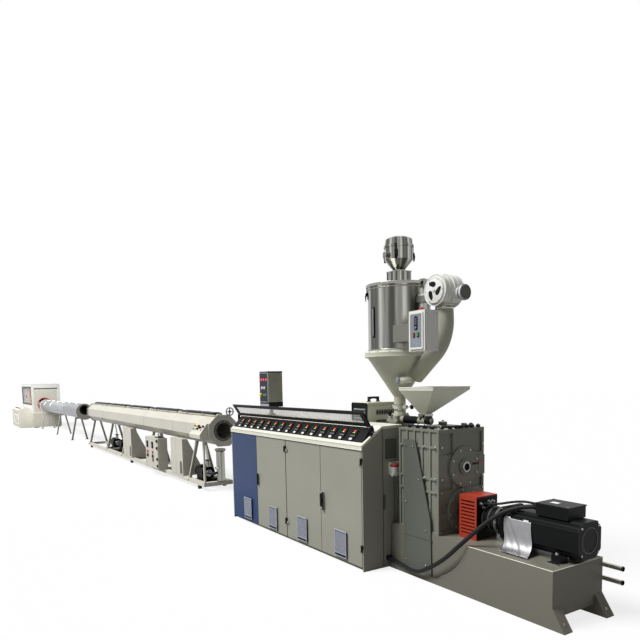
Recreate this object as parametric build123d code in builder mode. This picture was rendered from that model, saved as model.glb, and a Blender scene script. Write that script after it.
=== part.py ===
from build123d import *
import os
from math import cos, radians, sin, tan

# Plastic pipe extrusion line, millimetres, X along the line towards the drive end, Z up.
# The origin is on the floor, on the line axis, under the gearbox end of the machine base.

# Line
LINE_Z = 900.0            # height of the pipe axis above the floor
SEAT = 0.3                # gap where one piece rests against another of a different shape
SHEET = 12.0              # folded sheet and frame section of the cabinets
PLAY = 7.0                # gap round a door

# Machine base
BED_END = 1343.0
BED_FRONT = -294.0
BED_BACK = 240.0
BED_TOP = 379.0
SKIRT = 22.0              # how far the curved front plate stands proud of the bed
LOW_TOP = 47.0
CURVE_TOP_X = 631.0
CURVE_MID = (529.0, 200.0)
CURVE_LOW = (362.0, 82.0)
CURVE_END_X = 316.0
BED_START = -250.0
RUNNER_START = -3300.0
RUNNER_HALF = 120.0
FOOT_REACH = 92.0
FOOT_HEIGHT = 140.0
FOOT_WIDTH = 84.0

# Gearbox
GEAR_FACE = 310.0
GEAR_LENGTH = 460.0
GEAR_FRONT = -268.0
GEAR_BACK = 232.0
GEAR_TOP = 1200.0
GEAR_RIB = 10.0
NOSE_R = 134.0
NOSE_LENGTH = 90.0
GEAR_FLANGES = (713.0, 817.0, 1064.0)
HATCH_Y = 120.0
POCKET_DEPTH = 14.0
COVER_UP_R = 160.0
COVER_LOW_R = 178.0
COVER_LOW_Z = 560.0
COVER_THICK = 16.0

# Drive
MOTOR_START = 790.0
MOTOR_END = 1400.0
MOTOR_WIDTH = 244.0
MOTOR_FOOT = 41.0
MOTOR_CHAMFER = 52.0
MOTOR_FLANGE = 26.0
TERMINAL_START = 1060.0
TERMINAL_LENGTH = 245.0
TERMINAL_WIDTH = 190.0
TERMINAL_HEIGHT = 84.0
GUARD_START = 403.0
GUARD_LENGTH = 172.0
GUARD_FRONT = -140.0
GUARD_WIDTH = 226.0
GUARD_TOP = 711.0
GUARD_SLOTS = 10
WATER_PIPE_R = 17.0
WATER_PIPE_END = 1478.0

# Feed and barrel
THROAT_X = -450.0
BARREL_R = 95.0
HOOD_START = -620.0
HOOD_END = -2300.0
HOOD_FRONT = -128.0
HOOD_BACK = 230.0
HOOD_LOW = 700.0
HOOD_TOP = 1150.0
DIE_END = -3060.0
DIE_R = 138.0
THROAT_HALF = 88.0
THROAT_TOP = 1210.0

# Hopper dryer and loader
NECK_R = 52.0
CONE_LOW_Z = 1440.0
CONE_TOP_Z = 1790.0
CONE_R = 284.0
FLANGE_R = 305.0
FLANGE_THICK = 34.0
DRUM_TOP_Z = 2385.0
DRUM_R = 272.0
LID_THICK = 44.0
LOADER_BOX = 150.0
LOADER_R = 122.0
LOADER_TOP = 2806.0

# Console
CONSOLE_START = -2820.0
MODULE = 640.0
MODULES = 4
CONSOLE_FRONT = -565.0
CONSOLE_BACK = -143.0
LIP_LOW = 1019.0
LIP_TOP = 1058.0
LIP_OUT = 8.0
SLOPE_TOP_Y = -361.0
SLOPE_TOP_Z = 1206.0
CONSOLE_TOP = 1211.0
DOOR_THICK = 20.0
DOOR_LOW = 34.0
HINGE_R = 6.0
HINGE_LENGTH = 26.0
HINGE_OUT = 8.0
DOOR_RIGHT_MARGIN = 19.0
HINGE_LEVELS = (170.0, 900.0)
VENT_WIDTH = 150.0
VENT_HEIGHT = 180.0
VENT_LOW = 110.0
VENT_OUT = 14.0
BEZEL_END = 30.0
COVER_ANGLE = 57.7
COVER_REACH = 150.0
COVER_BAR = 18.0
COVER_DEPTH = 12.0
INSTRUMENTS = 15

# Vacuum tank
TANK_START = -12500.0
TANK_END = -4350.0
TANK_HALF = 205.0
TANK_WALL = 8.0
RAIL_HALF = 200.0
RAIL = 60.0
RAIL_LOW = 62.0
LIDS = 5

# Spray tank
SPRAY_START = -20900.0
SPRAY_END = -13950.0
SPRAY_R = 200.0
SPRAY_Z = 850.0

# Haul-off
HAUL_FACE = -21300.0
HAUL_LENGTH = 3000.0
HAUL_FRONT = -425.0
HAUL_BACK = 575.0
HAUL_TOP = 1655.0
HAUL_LOW = 34.0
RING_R = 240.0

os.makedirs("parts", exist_ok=True)


def slab(x0, x1, y0, y1, z0, z1, mode=Mode.ADD):
    """A block between two corners."""
    with Locations(((x0 + x1) / 2, (y0 + y1) / 2, (z0 + z1) / 2)):
        Box(x1 - x0, y1 - y0, z1 - z0, mode=mode)


def profile_along_x(points, x0, x1, mode=Mode.ADD):
    """A closed outline of (y, z) points carried from x0 to x1."""
    with BuildSketch(Plane.YZ.offset(x0)) as outline:
        with BuildLine():
            Polyline(*points, close=True)
        make_face()
    extrude(outline.sketch, amount=x1 - x0, mode=mode)


def profile_along_y(points, y0, y1, mode=Mode.ADD):
    """A closed outline of (x, z) points carried from y0 to y1."""
    with BuildSketch(Plane.XZ.offset(-y1)) as outline:
        with BuildLine():
            Polyline(*points, close=True)
        make_face()
    extrude(outline.sketch, amount=y1 - y0, mode=mode)


def rod_x(x0, x1, y, z, radius, mode=Mode.ADD):
    """A round bar along X."""
    with BuildSketch(Plane.YZ.offset(x0)) as section:
        with Locations((y, z)):
            Circle(radius)
    extrude(section.sketch, amount=x1 - x0, mode=mode)


def rod_y(x, y0, y1, z, radius, mode=Mode.ADD):
    """A round bar along Y."""
    with BuildSketch(Plane.XZ.offset(-y1)) as section:
        with Locations((x, z)):
            Circle(radius)
    extrude(section.sketch, amount=y1 - y0, mode=mode)


def rod_z(x, y, z0, z1, radius, mode=Mode.ADD):
    """An upright round bar."""
    with BuildSketch(Plane.XY.offset(z0)) as section:
        with Locations((x, y)):
            Circle(radius)
    extrude(section.sketch, amount=z1 - z0, mode=mode)


def leg(foot, head, half):
    """A square leg from a foot point to a head point in one plane across the line."""
    lean = [(foot[1] - half, foot[2]), (foot[1] + half, foot[2]),
            (head[1] + half, head[2]), (head[1] - half, head[2])]
    profile_along_x(lean, foot[0] - half, foot[0] + half)


def save(piece, name):
    """Label a finished piece and write it to its own file."""
    piece.part.label = name
    export_step(piece.part, f"parts/{name}.step")


# Machine base: bed, curved front plate, low runner under the barrel and splayed feet
with BuildPart() as machine_base:
    slab(BED_START, BED_END, BED_FRONT + SKIRT, BED_BACK, LOW_TOP, BED_TOP)
    slab(BED_START, CURVE_TOP_X, BED_FRONT, BED_BACK, 0, LOW_TOP)
    slab(RUNNER_START, BED_START, -RUNNER_HALF, BED_BACK, 0, LOW_TOP)
    with BuildSketch(Plane.XZ.offset(-BED_BACK)) as front_plate:
        with BuildLine():
            Polyline((CURVE_END_X, LOW_TOP), (CURVE_END_X, 0), (BED_END, 0),
                     (BED_END, BED_TOP), (CURVE_TOP_X, BED_TOP))
            ThreePointArc((CURVE_TOP_X, BED_TOP), CURVE_MID, CURVE_LOW)
            Line(CURVE_LOW, (CURVE_END_X, LOW_TOP))
        make_face()
    extrude(front_plate.sketch, amount=BED_BACK - BED_FRONT)
    slab(CURVE_TOP_X + SKIRT, BED_END, BED_FRONT + FOOT_WIDTH, BED_BACK - FOOT_WIDTH,
         0, LOW_TOP + SKIRT, mode=Mode.SUBTRACT)
    for foot_y in (BED_FRONT, BED_BACK - FOOT_WIDTH):
        profile_along_y([(BED_END, 0), (BED_END + FOOT_REACH, 0), (BED_END, FOOT_HEIGHT)],
                        foot_y, foot_y + FOOT_WIDTH)
save(machine_base, "machine_base")

# Two steel water pipes clipped along the far side of the bed
PIPE_Y = BED_BACK + WATER_PIPE_R + SEAT
with BuildPart() as water_pipes:
    for pipe_z in (LOW_TOP + 184.0, LOW_TOP + 278.0):
        rod_x(GEAR_FACE, WATER_PIPE_END, PIPE_Y, pipe_z, WATER_PIPE_R)
        rod_x(GEAR_FACE, WATER_PIPE_END, PIPE_Y, pipe_z, WATER_PIPE_R - 4.0, mode=Mode.SUBTRACT)
save(water_pipes, "water_pipes")

# Gearbox casing: ribbed sides, split flanges, pocketed end and two round bearing covers
GEAR_START = GEAR_FACE - GEAR_LENGTH
POCKET_ROWS = ((BED_TOP + 30.0, BED_TOP + 130.0), (BED_TOP + 165.0, BED_TOP + 245.0),
               (GEAR_FLANGES[0] + 16.0, GEAR_FLANGES[1] - 16.0),
               (GEAR_FLANGES[2] - 60.0, GEAR_TOP - 30.0))
POCKET_COLUMNS = ((GEAR_FRONT + 26.0, GEAR_FRONT + 150.0), (GEAR_BACK - 150.0, GEAR_BACK - 26.0))
with BuildPart() as gearbox:
    slab(GEAR_START, GEAR_FACE, GEAR_FRONT + GEAR_RIB, GEAR_BACK - GEAR_RIB, BED_TOP, GEAR_TOP)
    for flange_z in GEAR_FLANGES:
        slab(GEAR_START, GEAR_FACE, GEAR_FRONT, GEAR_BACK, flange_z - 9.0, flange_z + 9.0)
    slab(GEAR_START, GEAR_FACE, GEAR_FRONT, GEAR_BACK, GEAR_TOP - 16.0, GEAR_TOP)
    slab(GEAR_START, GEAR_FACE, GEAR_FRONT, GEAR_BACK, BED_TOP, BED_TOP + 22.0)
    for rib in range(6):
        rib_x = GEAR_START + rib * (GEAR_LENGTH - 18.0) / 5
        slab(rib_x, rib_x + 18.0, GEAR_FRONT, GEAR_BACK, BED_TOP, GEAR_TOP)
    for low, high in POCKET_ROWS:
        for left, right in POCKET_COLUMNS:
            slab(GEAR_FACE - POCKET_DEPTH, GEAR_FACE, left, right, low, high, mode=Mode.SUBTRACT)
    for cover_z, cover_r in ((LINE_Z, COVER_UP_R), (COVER_LOW_Z, COVER_LOW_R)):
        rod_x(GEAR_FACE - POCKET_DEPTH, GEAR_FACE + COVER_THICK, 0, cover_z, cover_r)
    slab(GEAR_FACE - POCKET_DEPTH, GEAR_FACE + COVER_THICK / 2, 90.0, GEAR_BACK,
         LINE_Z - 78.0, LINE_Z + 78.0)
    rod_x(GEAR_FACE, GEAR_FACE + COVER_THICK + 14.0, 0, LINE_Z, 60.0)
    rod_x(GEAR_FACE, GEAR_FACE + COVER_THICK + 14.0, 0, LINE_Z, 30.0, mode=Mode.SUBTRACT)
    rod_x(GEAR_START - NOSE_LENGTH, GEAR_START, 0, LINE_Z, NOSE_R - 4.0)
    for hatch_x, hatch_r in ((GEAR_START + 110.0, 36.0), (GEAR_FACE - 110.0, 22.0)):
        rod_z(hatch_x, HATCH_Y, GEAR_TOP, GEAR_TOP + 26.0, hatch_r)
save(gearbox, "gearbox")

# Dark tapered side plate in front of the casing
PANEL_LOW_END = 246.0
PANEL_TOP_END = 62.0
PLATE_BACK = BED_FRONT + SKIRT - SEAT
with BuildPart() as side_panel:
    profile_along_y([(-78.0, LOW_TOP), (PANEL_LOW_END, LOW_TOP), (PANEL_LOW_END - 12.0, 487.0),
                     (PANEL_TOP_END, GEAR_TOP - 90.0), (-78.0, GEAR_TOP - 90.0)],
                    PLATE_BACK - SHEET, PLATE_BACK)
    slab(-78.0, PANEL_LOW_END, PLATE_BACK - SHEET - 4.0, PLATE_BACK, 330.0, 336.0)
save(side_panel, "side_panel")

# Red fan housing beside the coupling, with slots cut through its front
with BuildPart() as fan_housing:
    slab(GUARD_START, GUARD_START + GUARD_LENGTH, GUARD_FRONT, GUARD_FRONT + GUARD_WIDTH,
         BED_TOP, GUARD_TOP)
    for slot in range(GUARD_SLOTS):
        slot_z = BED_TOP + 40.0 + slot * (GUARD_TOP - BED_TOP - 90.0) / (GUARD_SLOTS - 1)
        slab(GUARD_START + 18.0, GUARD_START + GUARD_LENGTH - 18.0, GUARD_FRONT,
             GUARD_FRONT + 20.0, slot_z, slot_z + 13.0, mode=Mode.SUBTRACT)
save(fan_housing, "fan_housing")

# Coupling tubes either side of the fan housing
COUPLING_R = 92.0
MOTOR_Z = BED_TOP + MOTOR_FOOT + MOTOR_WIDTH / 2
with BuildPart() as coupling:
    rod_x(GEAR_FACE + COVER_THICK, GUARD_START, 0, MOTOR_Z, COUPLING_R - 20.0)
    rod_x(GUARD_START + GUARD_LENGTH, MOTOR_START, 0, MOTOR_Z, COUPLING_R)
save(coupling, "coupling")


def motor_outline(grow, low, high):
    """Square motor section with its corners cut off."""
    half = MOTOR_WIDTH / 2 + grow
    cut = MOTOR_CHAMFER
    return [(-half + cut, low), (half - cut, low), (half, low + cut), (half, high - cut),
            (half - cut, high), (-half + cut, high), (-half, high - cut), (-half, low + cut)]


# Drive motor: cut-corner housing, front flange, end ring, feet on the bed and terminal box
MOTOR_LOW = BED_TOP + MOTOR_FOOT
MOTOR_HIGH = MOTOR_LOW + MOTOR_WIDTH
with BuildPart() as motor_body:
    profile_along_x(motor_outline(0, MOTOR_LOW, MOTOR_HIGH), MOTOR_START, MOTOR_END)
    profile_along_x(motor_outline(12.0, MOTOR_LOW - 12.0, MOTOR_HIGH + 12.0),
                    MOTOR_START, MOTOR_START + MOTOR_FLANGE)
    rod_x(MOTOR_END - 12.0, MOTOR_END, 0, MOTOR_Z, 88.0, mode=Mode.SUBTRACT)
    rod_x(MOTOR_END - 12.0, MOTOR_END - 3.0, 0, MOTOR_Z, 72.0)
    for foot_x in (MOTOR_START + 60.0, BED_END - 130.0):
        for foot_y in (-MOTOR_WIDTH / 2 - 12.0, MOTOR_WIDTH / 2 - 68.0):
            slab(foot_x, foot_x + 70.0, foot_y, foot_y + 80.0, BED_TOP, MOTOR_LOW + 16.0)
    slab(TERMINAL_START, TERMINAL_START + TERMINAL_LENGTH, -TERMINAL_WIDTH / 2,
         TERMINAL_WIDTH / 2, MOTOR_HIGH, MOTOR_HIGH + TERMINAL_HEIGHT - 8.0)
    slab(TERMINAL_START - 4.0, TERMINAL_START + TERMINAL_LENGTH + 4.0, -TERMINAL_WIDTH / 2 - 4.0,
         TERMINAL_WIDTH / 2 + 4.0, MOTOR_HIGH + TERMINAL_HEIGHT - 8.0, MOTOR_HIGH + TERMINAL_HEIGHT)
save(motor_body, "motor_body")

# Feed casting, bare barrel and heater bands
NOSE = GEAR_START - NOSE_LENGTH
with BuildPart() as barrel:
    rod_x(HOOD_END - 60.0, NOSE, 0, LINE_Z, BARREL_R)
    slab(THROAT_X - THROAT_HALF, THROAT_X + THROAT_HALF, -THROAT_HALF, THROAT_HALF,
         LINE_Z - 110.0, THROAT_TOP)
    rod_x(NOSE - 36.0, NOSE, 0, LINE_Z, NOSE_R)
save(barrel, "barrel")

# Sheet hood over the heated barrel
with BuildPart() as barrel_hood:
    profile_along_x([(HOOD_FRONT, HOOD_LOW), (HOOD_BACK, HOOD_LOW), (HOOD_BACK, HOOD_TOP - 40.0),
                     (HOOD_BACK - 40.0, HOOD_TOP), (HOOD_FRONT, HOOD_TOP)],
                    HOOD_END, HOOD_START)
    rod_x(HOOD_END, HOOD_START, 0, LINE_Z, BARREL_R + SEAT, mode=Mode.SUBTRACT)
save(barrel_hood, "barrel_hood")

# Box stands that carry the hood and the die on the runner
with BuildPart() as barrel_stands:
    for stand_x in (HOOD_START - 260.0, HOOD_END + 160.0):
        slab(stand_x, stand_x + 160.0, -90.0, 170.0, LOW_TOP, HOOD_LOW)
    slab(HOOD_END - 480.0, HOOD_END - 380.0, -60.0, 60.0, LOW_TOP, LINE_Z - DIE_R)
save(barrel_stands, "barrel_stands")

# Die head: adapter, clamp ring, body and outlet bush
with BuildPart() as die_head:
    with BuildSketch(Plane.XZ):
        with BuildLine():
            Polyline((HOOD_END - 60.0, LINE_Z), (HOOD_END - 60.0, LINE_Z + 120.0),
                     (HOOD_END - 130.0, LINE_Z + 120.0), (HOOD_END - 130.0, LINE_Z + 86.0),
                     (HOOD_END - 230.0, LINE_Z + 86.0), (HOOD_END - 290.0, LINE_Z + DIE_R),
                     (DIE_END + 160.0, LINE_Z + DIE_R), (DIE_END + 160.0, LINE_Z + DIE_R - 24.0),
                     (DIE_END + 60.0, LINE_Z + DIE_R - 24.0), (DIE_END, LINE_Z + 70.0),
                     (DIE_END, LINE_Z), close=True)
        make_face()
    revolve(axis=Axis((0, 0, LINE_Z), (1, 0, 0)))
    rod_x(DIE_END, DIE_END + 120.0, 0, LINE_Z, 50.0, mode=Mode.SUBTRACT)
save(die_head, "die_head")

# Doser: feed block on the throat and its motor lying along the line
FEED_TOP = THROAT_TOP + 66.0
SPOUT_X = -120.0
DOSER_R = 30.0
DOSER_END = -40.0
DOSER_Y = -30.0
DOSER_Z = THROAT_TOP + 34.0
HOPPER_X = -50.0
HOPPER_Y = 30.0
HOPPER_LOW = 1300.0
HOPPER_TOP = 1500.0
HOPPER_HALF = 205.0
HOPPER_WALL = 5.0
HOPPER_RIM = 24.0
SPOUT_HALF = 34.0
with BuildPart() as doser:
    slab(THROAT_X - 84.0, THROAT_X + 60.0, -84.0, 60.0, THROAT_TOP, FEED_TOP)
    rod_x(THROAT_X + 60.0, DOSER_END, DOSER_Y, DOSER_Z, DOSER_R)
    with Locations((DOSER_END, DOSER_Y, DOSER_Z)):
        Sphere(DOSER_R)
    slab(SPOUT_X - 40.0, SPOUT_X + 40.0, -40.0, 40.0, THROAT_TOP + 20.0, HOPPER_LOW)
save(doser, "doser")



def square_at(x, y, z, half):
    """A level square face."""
    with BuildSketch(Plane.XY.offset(z)) as square:
        with Locations((x, y)):
            Rectangle(2 * half, 2 * half)
    return square.sketch


# Side hopper of the doser: a leaning pyramid of sheet, open at the top
with BuildPart() as doser_hopper:
    rim_low = HOPPER_X - HOPPER_HALF, HOPPER_Y - HOPPER_HALF
    rim_high = HOPPER_X + HOPPER_HALF, HOPPER_Y + HOPPER_HALF
    loft([square_at(SPOUT_X, 0, HOPPER_LOW, SPOUT_HALF),
          square_at(HOPPER_X, HOPPER_Y, HOPPER_TOP, HOPPER_HALF)])
    slab(rim_low[0], rim_high[0], rim_low[1], rim_high[1], HOPPER_TOP, HOPPER_TOP + HOPPER_RIM)
    loft([square_at(SPOUT_X, 0, HOPPER_LOW + HOPPER_WALL, SPOUT_HALF - HOPPER_WALL),
          square_at(HOPPER_X, HOPPER_Y, HOPPER_TOP, HOPPER_HALF - HOPPER_WALL)],
         mode=Mode.SUBTRACT)
    slab(rim_low[0] + HOPPER_WALL, rim_high[0] - HOPPER_WALL, rim_low[1] + HOPPER_WALL,
         rim_high[1] - HOPPER_WALL, HOPPER_TOP, HOPPER_TOP + HOPPER_RIM, mode=Mode.SUBTRACT)
save(doser_hopper, "doser_hopper")


def turned(points, x, y, mode=Mode.ADD):
    """Turn an outline of (radius, z) points about an upright axis at x, y."""
    with BuildSketch(Plane.XZ.offset(-y)) as outline:
        with BuildLine():
            Polyline(*[(x + r, z) for r, z in points], close=True)
        make_face()
    revolve(outline.sketch, axis=Axis((x, y, 0), (0, 0, 1)), mode=mode)


# Dryer: neck, cone and flange under the drum
with BuildPart() as dryer_cone:
    turned([(0, FEED_TOP), (NECK_R + 26.0, FEED_TOP), (NECK_R + 26.0, FEED_TOP + 16.0),
            (NECK_R, FEED_TOP + 16.0), (NECK_R, CONE_LOW_Z), (CONE_R, CONE_TOP_Z),
            (FLANGE_R, CONE_TOP_Z), (FLANGE_R, CONE_TOP_Z + FLANGE_THICK),
            (0, CONE_TOP_Z + FLANGE_THICK)], THROAT_X, 0)
    slab(THROAT_X - NECK_R - 40.0, THROAT_X + NECK_R + 40.0, -12.0, 12.0,
         FEED_TOP + 60.0, FEED_TOP + 90.0)
save(dryer_cone, "dryer_cone")

# Dryer drum with a rolled bead top and bottom
DRUM_LOW = CONE_TOP_Z + FLANGE_THICK
with BuildPart() as dryer_drum:
    turned([(0, DRUM_LOW), (DRUM_R + 8.0, DRUM_LOW), (DRUM_R + 8.0, DRUM_LOW + 16.0),
            (DRUM_R, DRUM_LOW + 24.0), (DRUM_R, DRUM_TOP_Z - 20.0), (DRUM_R + 6.0, DRUM_TOP_Z - 12.0),
            (DRUM_R + 6.0, DRUM_TOP_Z), (0, DRUM_TOP_Z)], THROAT_X, 0)
save(dryer_drum, "dryer_drum")

# Domed lid with a rolled rim and a seat for the loader
LID_TOP = DRUM_TOP_Z + LID_THICK
with BuildPart() as dryer_lid:
    turned([(0, DRUM_TOP_Z), (DRUM_R + 16.0, DRUM_TOP_Z), (DRUM_R + 16.0, DRUM_TOP_Z + 18.0),
            (DRUM_R, DRUM_TOP_Z + 24.0), (LOADER_BOX / 2 + 40.0, LID_TOP - 6.0),
            (LOADER_BOX / 2 + 40.0, LID_TOP), (0, LID_TOP)], THROAT_X, 0)
save(dryer_lid, "dryer_lid")

# Vacuum loader: valve box, cone, drum and clamped lid
LOADER_CONE = LID_TOP + 98.0
LOADER_DRUM = LOADER_CONE + 92.0
with BuildPart() as loader:
    half_box = LOADER_BOX / 2
    slab(THROAT_X - half_box, THROAT_X + half_box, -half_box, half_box, LID_TOP, LOADER_CONE)
    turned([(0, LOADER_CONE), (44.0, LOADER_CONE), (LOADER_R, LOADER_DRUM),
            (LOADER_R, LOADER_TOP - 84.0), (LOADER_R + 8.0, LOADER_TOP - 84.0),
            (LOADER_R + 8.0, LOADER_TOP - 66.0), (LOADER_R, LOADER_TOP - 66.0),
            (LOADER_R - 6.0, LOADER_TOP - 14.0), (LOADER_R - 30.0, LOADER_TOP), (0, LOADER_TOP)],
           THROAT_X, 0)
    rod_x(THROAT_X - LOADER_R - 62.0, THROAT_X, 0, LOADER_DRUM + 70.0, 24.0)
    rod_y(THROAT_X, -LOADER_R - 40.0, 0, LOADER_DRUM + 40.0, 19.0)
save(loader, "loader")

# Hot air blower on the side of the drum, with its duct bending down into the cone
BLOWER_X = 75.0
BLOWER_Z = 2290.0
BLOWER_R = 130.0
DUCT_R = 72.0
DUCT_LOW_Z = 1640.0
DUCT_BACK = 20.0
with BuildPart() as air_blower:
    rod_y(BLOWER_X, -78.0, 14.0, BLOWER_Z, BLOWER_R - 8.0)
    rod_y(BLOWER_X, 14.0, 112.0, BLOWER_Z, BLOWER_R)
    rod_y(BLOWER_X, -90.0, -78.0, BLOWER_Z, BLOWER_R - 30.0)
    rod_x(BLOWER_X, BLOWER_X + BLOWER_R + 62.0, 62.0, BLOWER_Z - 30.0, 50.0)
    rod_x(BLOWER_X + BLOWER_R + 40.0, BLOWER_X + BLOWER_R + 62.0, 62.0, BLOWER_Z - 30.0, 60.0)
    slab(THROAT_X + DRUM_R + SEAT, BLOWER_X, -30.0, 30.0, BLOWER_Z - 60.0, BLOWER_Z)
    with BuildLine() as duct_route:
        FilletPolyline((BLOWER_X, DUCT_BACK, BLOWER_Z - 20.0), (BLOWER_X + 20.0, DUCT_BACK, 1900.0),
                       (THROAT_X + 190.0, DUCT_BACK, DUCT_LOW_Z - 20.0), radius=330.0)
    with BuildSketch(Plane(origin=duct_route.line @ 0, z_dir=duct_route.line % 0)) as duct_end:
        Circle(DUCT_R)
    sweep(duct_end.sketch, path=duct_route.line)
    turned([(0, CONE_LOW_Z - SEAT), (NECK_R + SEAT, CONE_LOW_Z - SEAT),
            (CONE_R + SEAT, CONE_TOP_Z - SEAT), (FLANGE_R + SEAT, CONE_TOP_Z - SEAT),
            (FLANGE_R + SEAT, DRUM_LOW + SEAT), (0, DRUM_LOW + SEAT)],
           THROAT_X, 0, mode=Mode.SUBTRACT)
save(air_blower, "air_blower")

# Control box of the dryer on a bracket from the drum
PANEL_X = 140.0
with BuildPart() as dryer_control_box:
    slab(PANEL_X - 90.0, PANEL_X + 90.0, -330.0, -190.0, 1806.0, 2114.0)
    slab(PANEL_X - 74.0, PANEL_X + 74.0, -336.0, -330.0, 1822.0, 2098.0)
    slab(THROAT_X + (DRUM_R ** 2 - 206.0 ** 2) ** 0.5 + SEAT, PANEL_X - 90.0, -222.0, -206.0,
         1900.0, 2040.0)
    rod_z(PANEL_X - 40.0, -240.0, 2114.0, 2140.0, 18.0)
save(dryer_control_box, "dryer_control_box")

# Vented equipment box standing askew on the barrel hood, with its carrying handle
BOX_LENGTH = 400.0
BOX_WIDTH = 280.0
BOX_HEIGHT = 235.0
BOX_TURN = -5.0
GRIP_MID = 155.0
GRIP_HALF = 50.0
box_plane = Plane(origin=(-747.0, -134.0, HOOD_TOP),
                  x_dir=(cos(radians(BOX_TURN)), sin(radians(BOX_TURN)), 0), z_dir=(0, 0, 1))
with BuildPart() as equipment_box:
    with BuildSketch(box_plane) as footprint:
        with Locations((-BOX_WIDTH / 2, BOX_LENGTH / 2)):
            RectangleRounded(BOX_WIDTH, BOX_LENGTH, 12.0)
    extrude(footprint.sketch, amount=BOX_HEIGHT)
    with BuildSketch(box_plane.offset(BOX_HEIGHT)) as handle_feet:
        with Locations((-BOX_WIDTH / 2, GRIP_MID - GRIP_HALF), (-BOX_WIDTH / 2, GRIP_MID + GRIP_HALF)):
            Rectangle(26.0, 16.0)
    extrude(handle_feet.sketch, amount=44.0)
    with BuildSketch(box_plane.offset(BOX_HEIGHT + 34.0)) as grip:
        with Locations((-BOX_WIDTH / 2, GRIP_MID)):
            Rectangle(26.0, 2 * GRIP_HALF + 16.0)
    extrude(grip.sketch, amount=16.0)
save(equipment_box, "equipment_box")

# Console shell: floor, two profiled ends and a back wall
CONSOLE_END = CONSOLE_START + MODULE * MODULES
TOP_UNDER = CONSOLE_TOP - 22.0
INNER_START = CONSOLE_START + SHEET + SEAT
INNER_END = CONSOLE_END - SHEET - SEAT


def slope_under(y):
    """Height of the underside of the sloping top at a distance from the front."""
    rise = (SLOPE_TOP_Z - LIP_TOP) / (SLOPE_TOP_Y - CONSOLE_FRONT + LIP_OUT)
    return LIP_TOP + rise * (y - CONSOLE_FRONT + LIP_OUT) - 22.0


with BuildPart() as console_shell:
    for wall_start in (CONSOLE_START, CONSOLE_END - SHEET):
        profile_along_x([(CONSOLE_FRONT, 0), (CONSOLE_BACK, 0), (CONSOLE_BACK, TOP_UNDER),
                         (SLOPE_TOP_Y, slope_under(SLOPE_TOP_Y)),
                         (CONSOLE_FRONT, slope_under(CONSOLE_FRONT))],
                        wall_start, wall_start + SHEET)
    slab(INNER_START, INNER_END, CONSOLE_FRONT + 32.0, CONSOLE_BACK, 0, 28.0)
    slab(INNER_START, INNER_END, CONSOLE_BACK - SHEET, CONSOLE_BACK, 28.0 + SEAT, TOP_UNDER)
save(console_shell, "console_shell")

# Console top: front lip, slope and flat
with BuildPart() as console_top:
    lip_y = CONSOLE_FRONT - LIP_OUT
    profile_along_x([(lip_y, LIP_LOW), (lip_y, LIP_TOP), (SLOPE_TOP_Y, SLOPE_TOP_Z),
                     (CONSOLE_BACK, CONSOLE_TOP), (CONSOLE_BACK, TOP_UNDER + SEAT),
                     (SLOPE_TOP_Y, slope_under(SLOPE_TOP_Y) + SEAT),
                     (CONSOLE_FRONT, slope_under(CONSOLE_FRONT) + SEAT),
                     (CONSOLE_FRONT, LIP_LOW)],
                    CONSOLE_START, CONSOLE_END)
save(console_top, "console_top")

# Posts behind the gaps between the doors
POST_FRONT = CONSOLE_FRONT + DOOR_THICK + 6.0
with BuildPart() as console_posts:
    for module in (1, 2, 3):
        post_x = CONSOLE_START + module * MODULE
        slab(post_x - 20.0, post_x + 20.0, POST_FRONT, POST_FRONT + 30.0,
             28.0 + SEAT, slope_under(POST_FRONT) - SEAT)
save(console_posts, "console_posts")


def vent(x_mid):
    """A raised vent with level louvres on the lower part of a panel."""
    x0 = x_mid - VENT_WIDTH / 2
    slab(x0, x0 + VENT_WIDTH, CONSOLE_FRONT - VENT_OUT, CONSOLE_FRONT, VENT_LOW, VENT_LOW + VENT_HEIGHT)
    for louvre in range(9):
        cut_z = VENT_LOW + 14.0 + louvre * 17.5
        slab(x0 + 10.0, x0 + VENT_WIDTH - 10.0, CONSOLE_FRONT - VENT_OUT,
             CONSOLE_FRONT - VENT_OUT / 2, cut_z, cut_z + 9.0, mode=Mode.SUBTRACT)


# Fixed blue panel on the first module
DOOR_TOP = LIP_LOW - PLAY
with BuildPart() as blue_panel:
    slab(CONSOLE_START + SHEET + SEAT, CONSOLE_START + MODULE - PLAY / 2, CONSOLE_FRONT,
         CONSOLE_FRONT + DOOR_THICK, 28.0, DOOR_TOP)
    slab(CONSOLE_START + MODULE - 20.0, CONSOLE_START + MODULE - PLAY, CONSOLE_FRONT,
         POST_FRONT, 28.0, DOOR_TOP)
    vent(CONSOLE_START + MODULE * 0.66)
save(blue_panel, "blue_panel")

# Hinge lines: (axis x, edge of the door beside it, side of the door as a sign)
GAP_X = CONSOLE_START + 2 * MODULE
HINGE_Y = CONSOLE_FRONT - HINGE_OUT
LEFT_AXIS = GAP_X - 10.0
MIDDLE_AXIS = GAP_X + 10.0
RIGHT_AXIS = CONSOLE_END - SHEET - 4.0


def knuckle(axis_x, level, side):
    """The door's half of a hinge: a barrel on the axis and a leaf onto the door face."""
    rod_z(axis_x, HINGE_Y, level, level + HINGE_LENGTH, HINGE_R)
    x0, x1 = sorted((axis_x, axis_x + side * 34.0))
    slab(x0, x1, HINGE_Y - 2.0, CONSOLE_FRONT, level, level + HINGE_LENGTH)


def door(x0, x1, axis_x, side, vent_x):
    """A door skin with its vent and hinge knuckles."""
    slab(x0, x1, CONSOLE_FRONT, CONSOLE_FRONT + DOOR_THICK, DOOR_LOW, DOOR_TOP)
    vent(vent_x)
    for level in HINGE_LEVELS:
        knuckle(axis_x, level, side)


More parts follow.
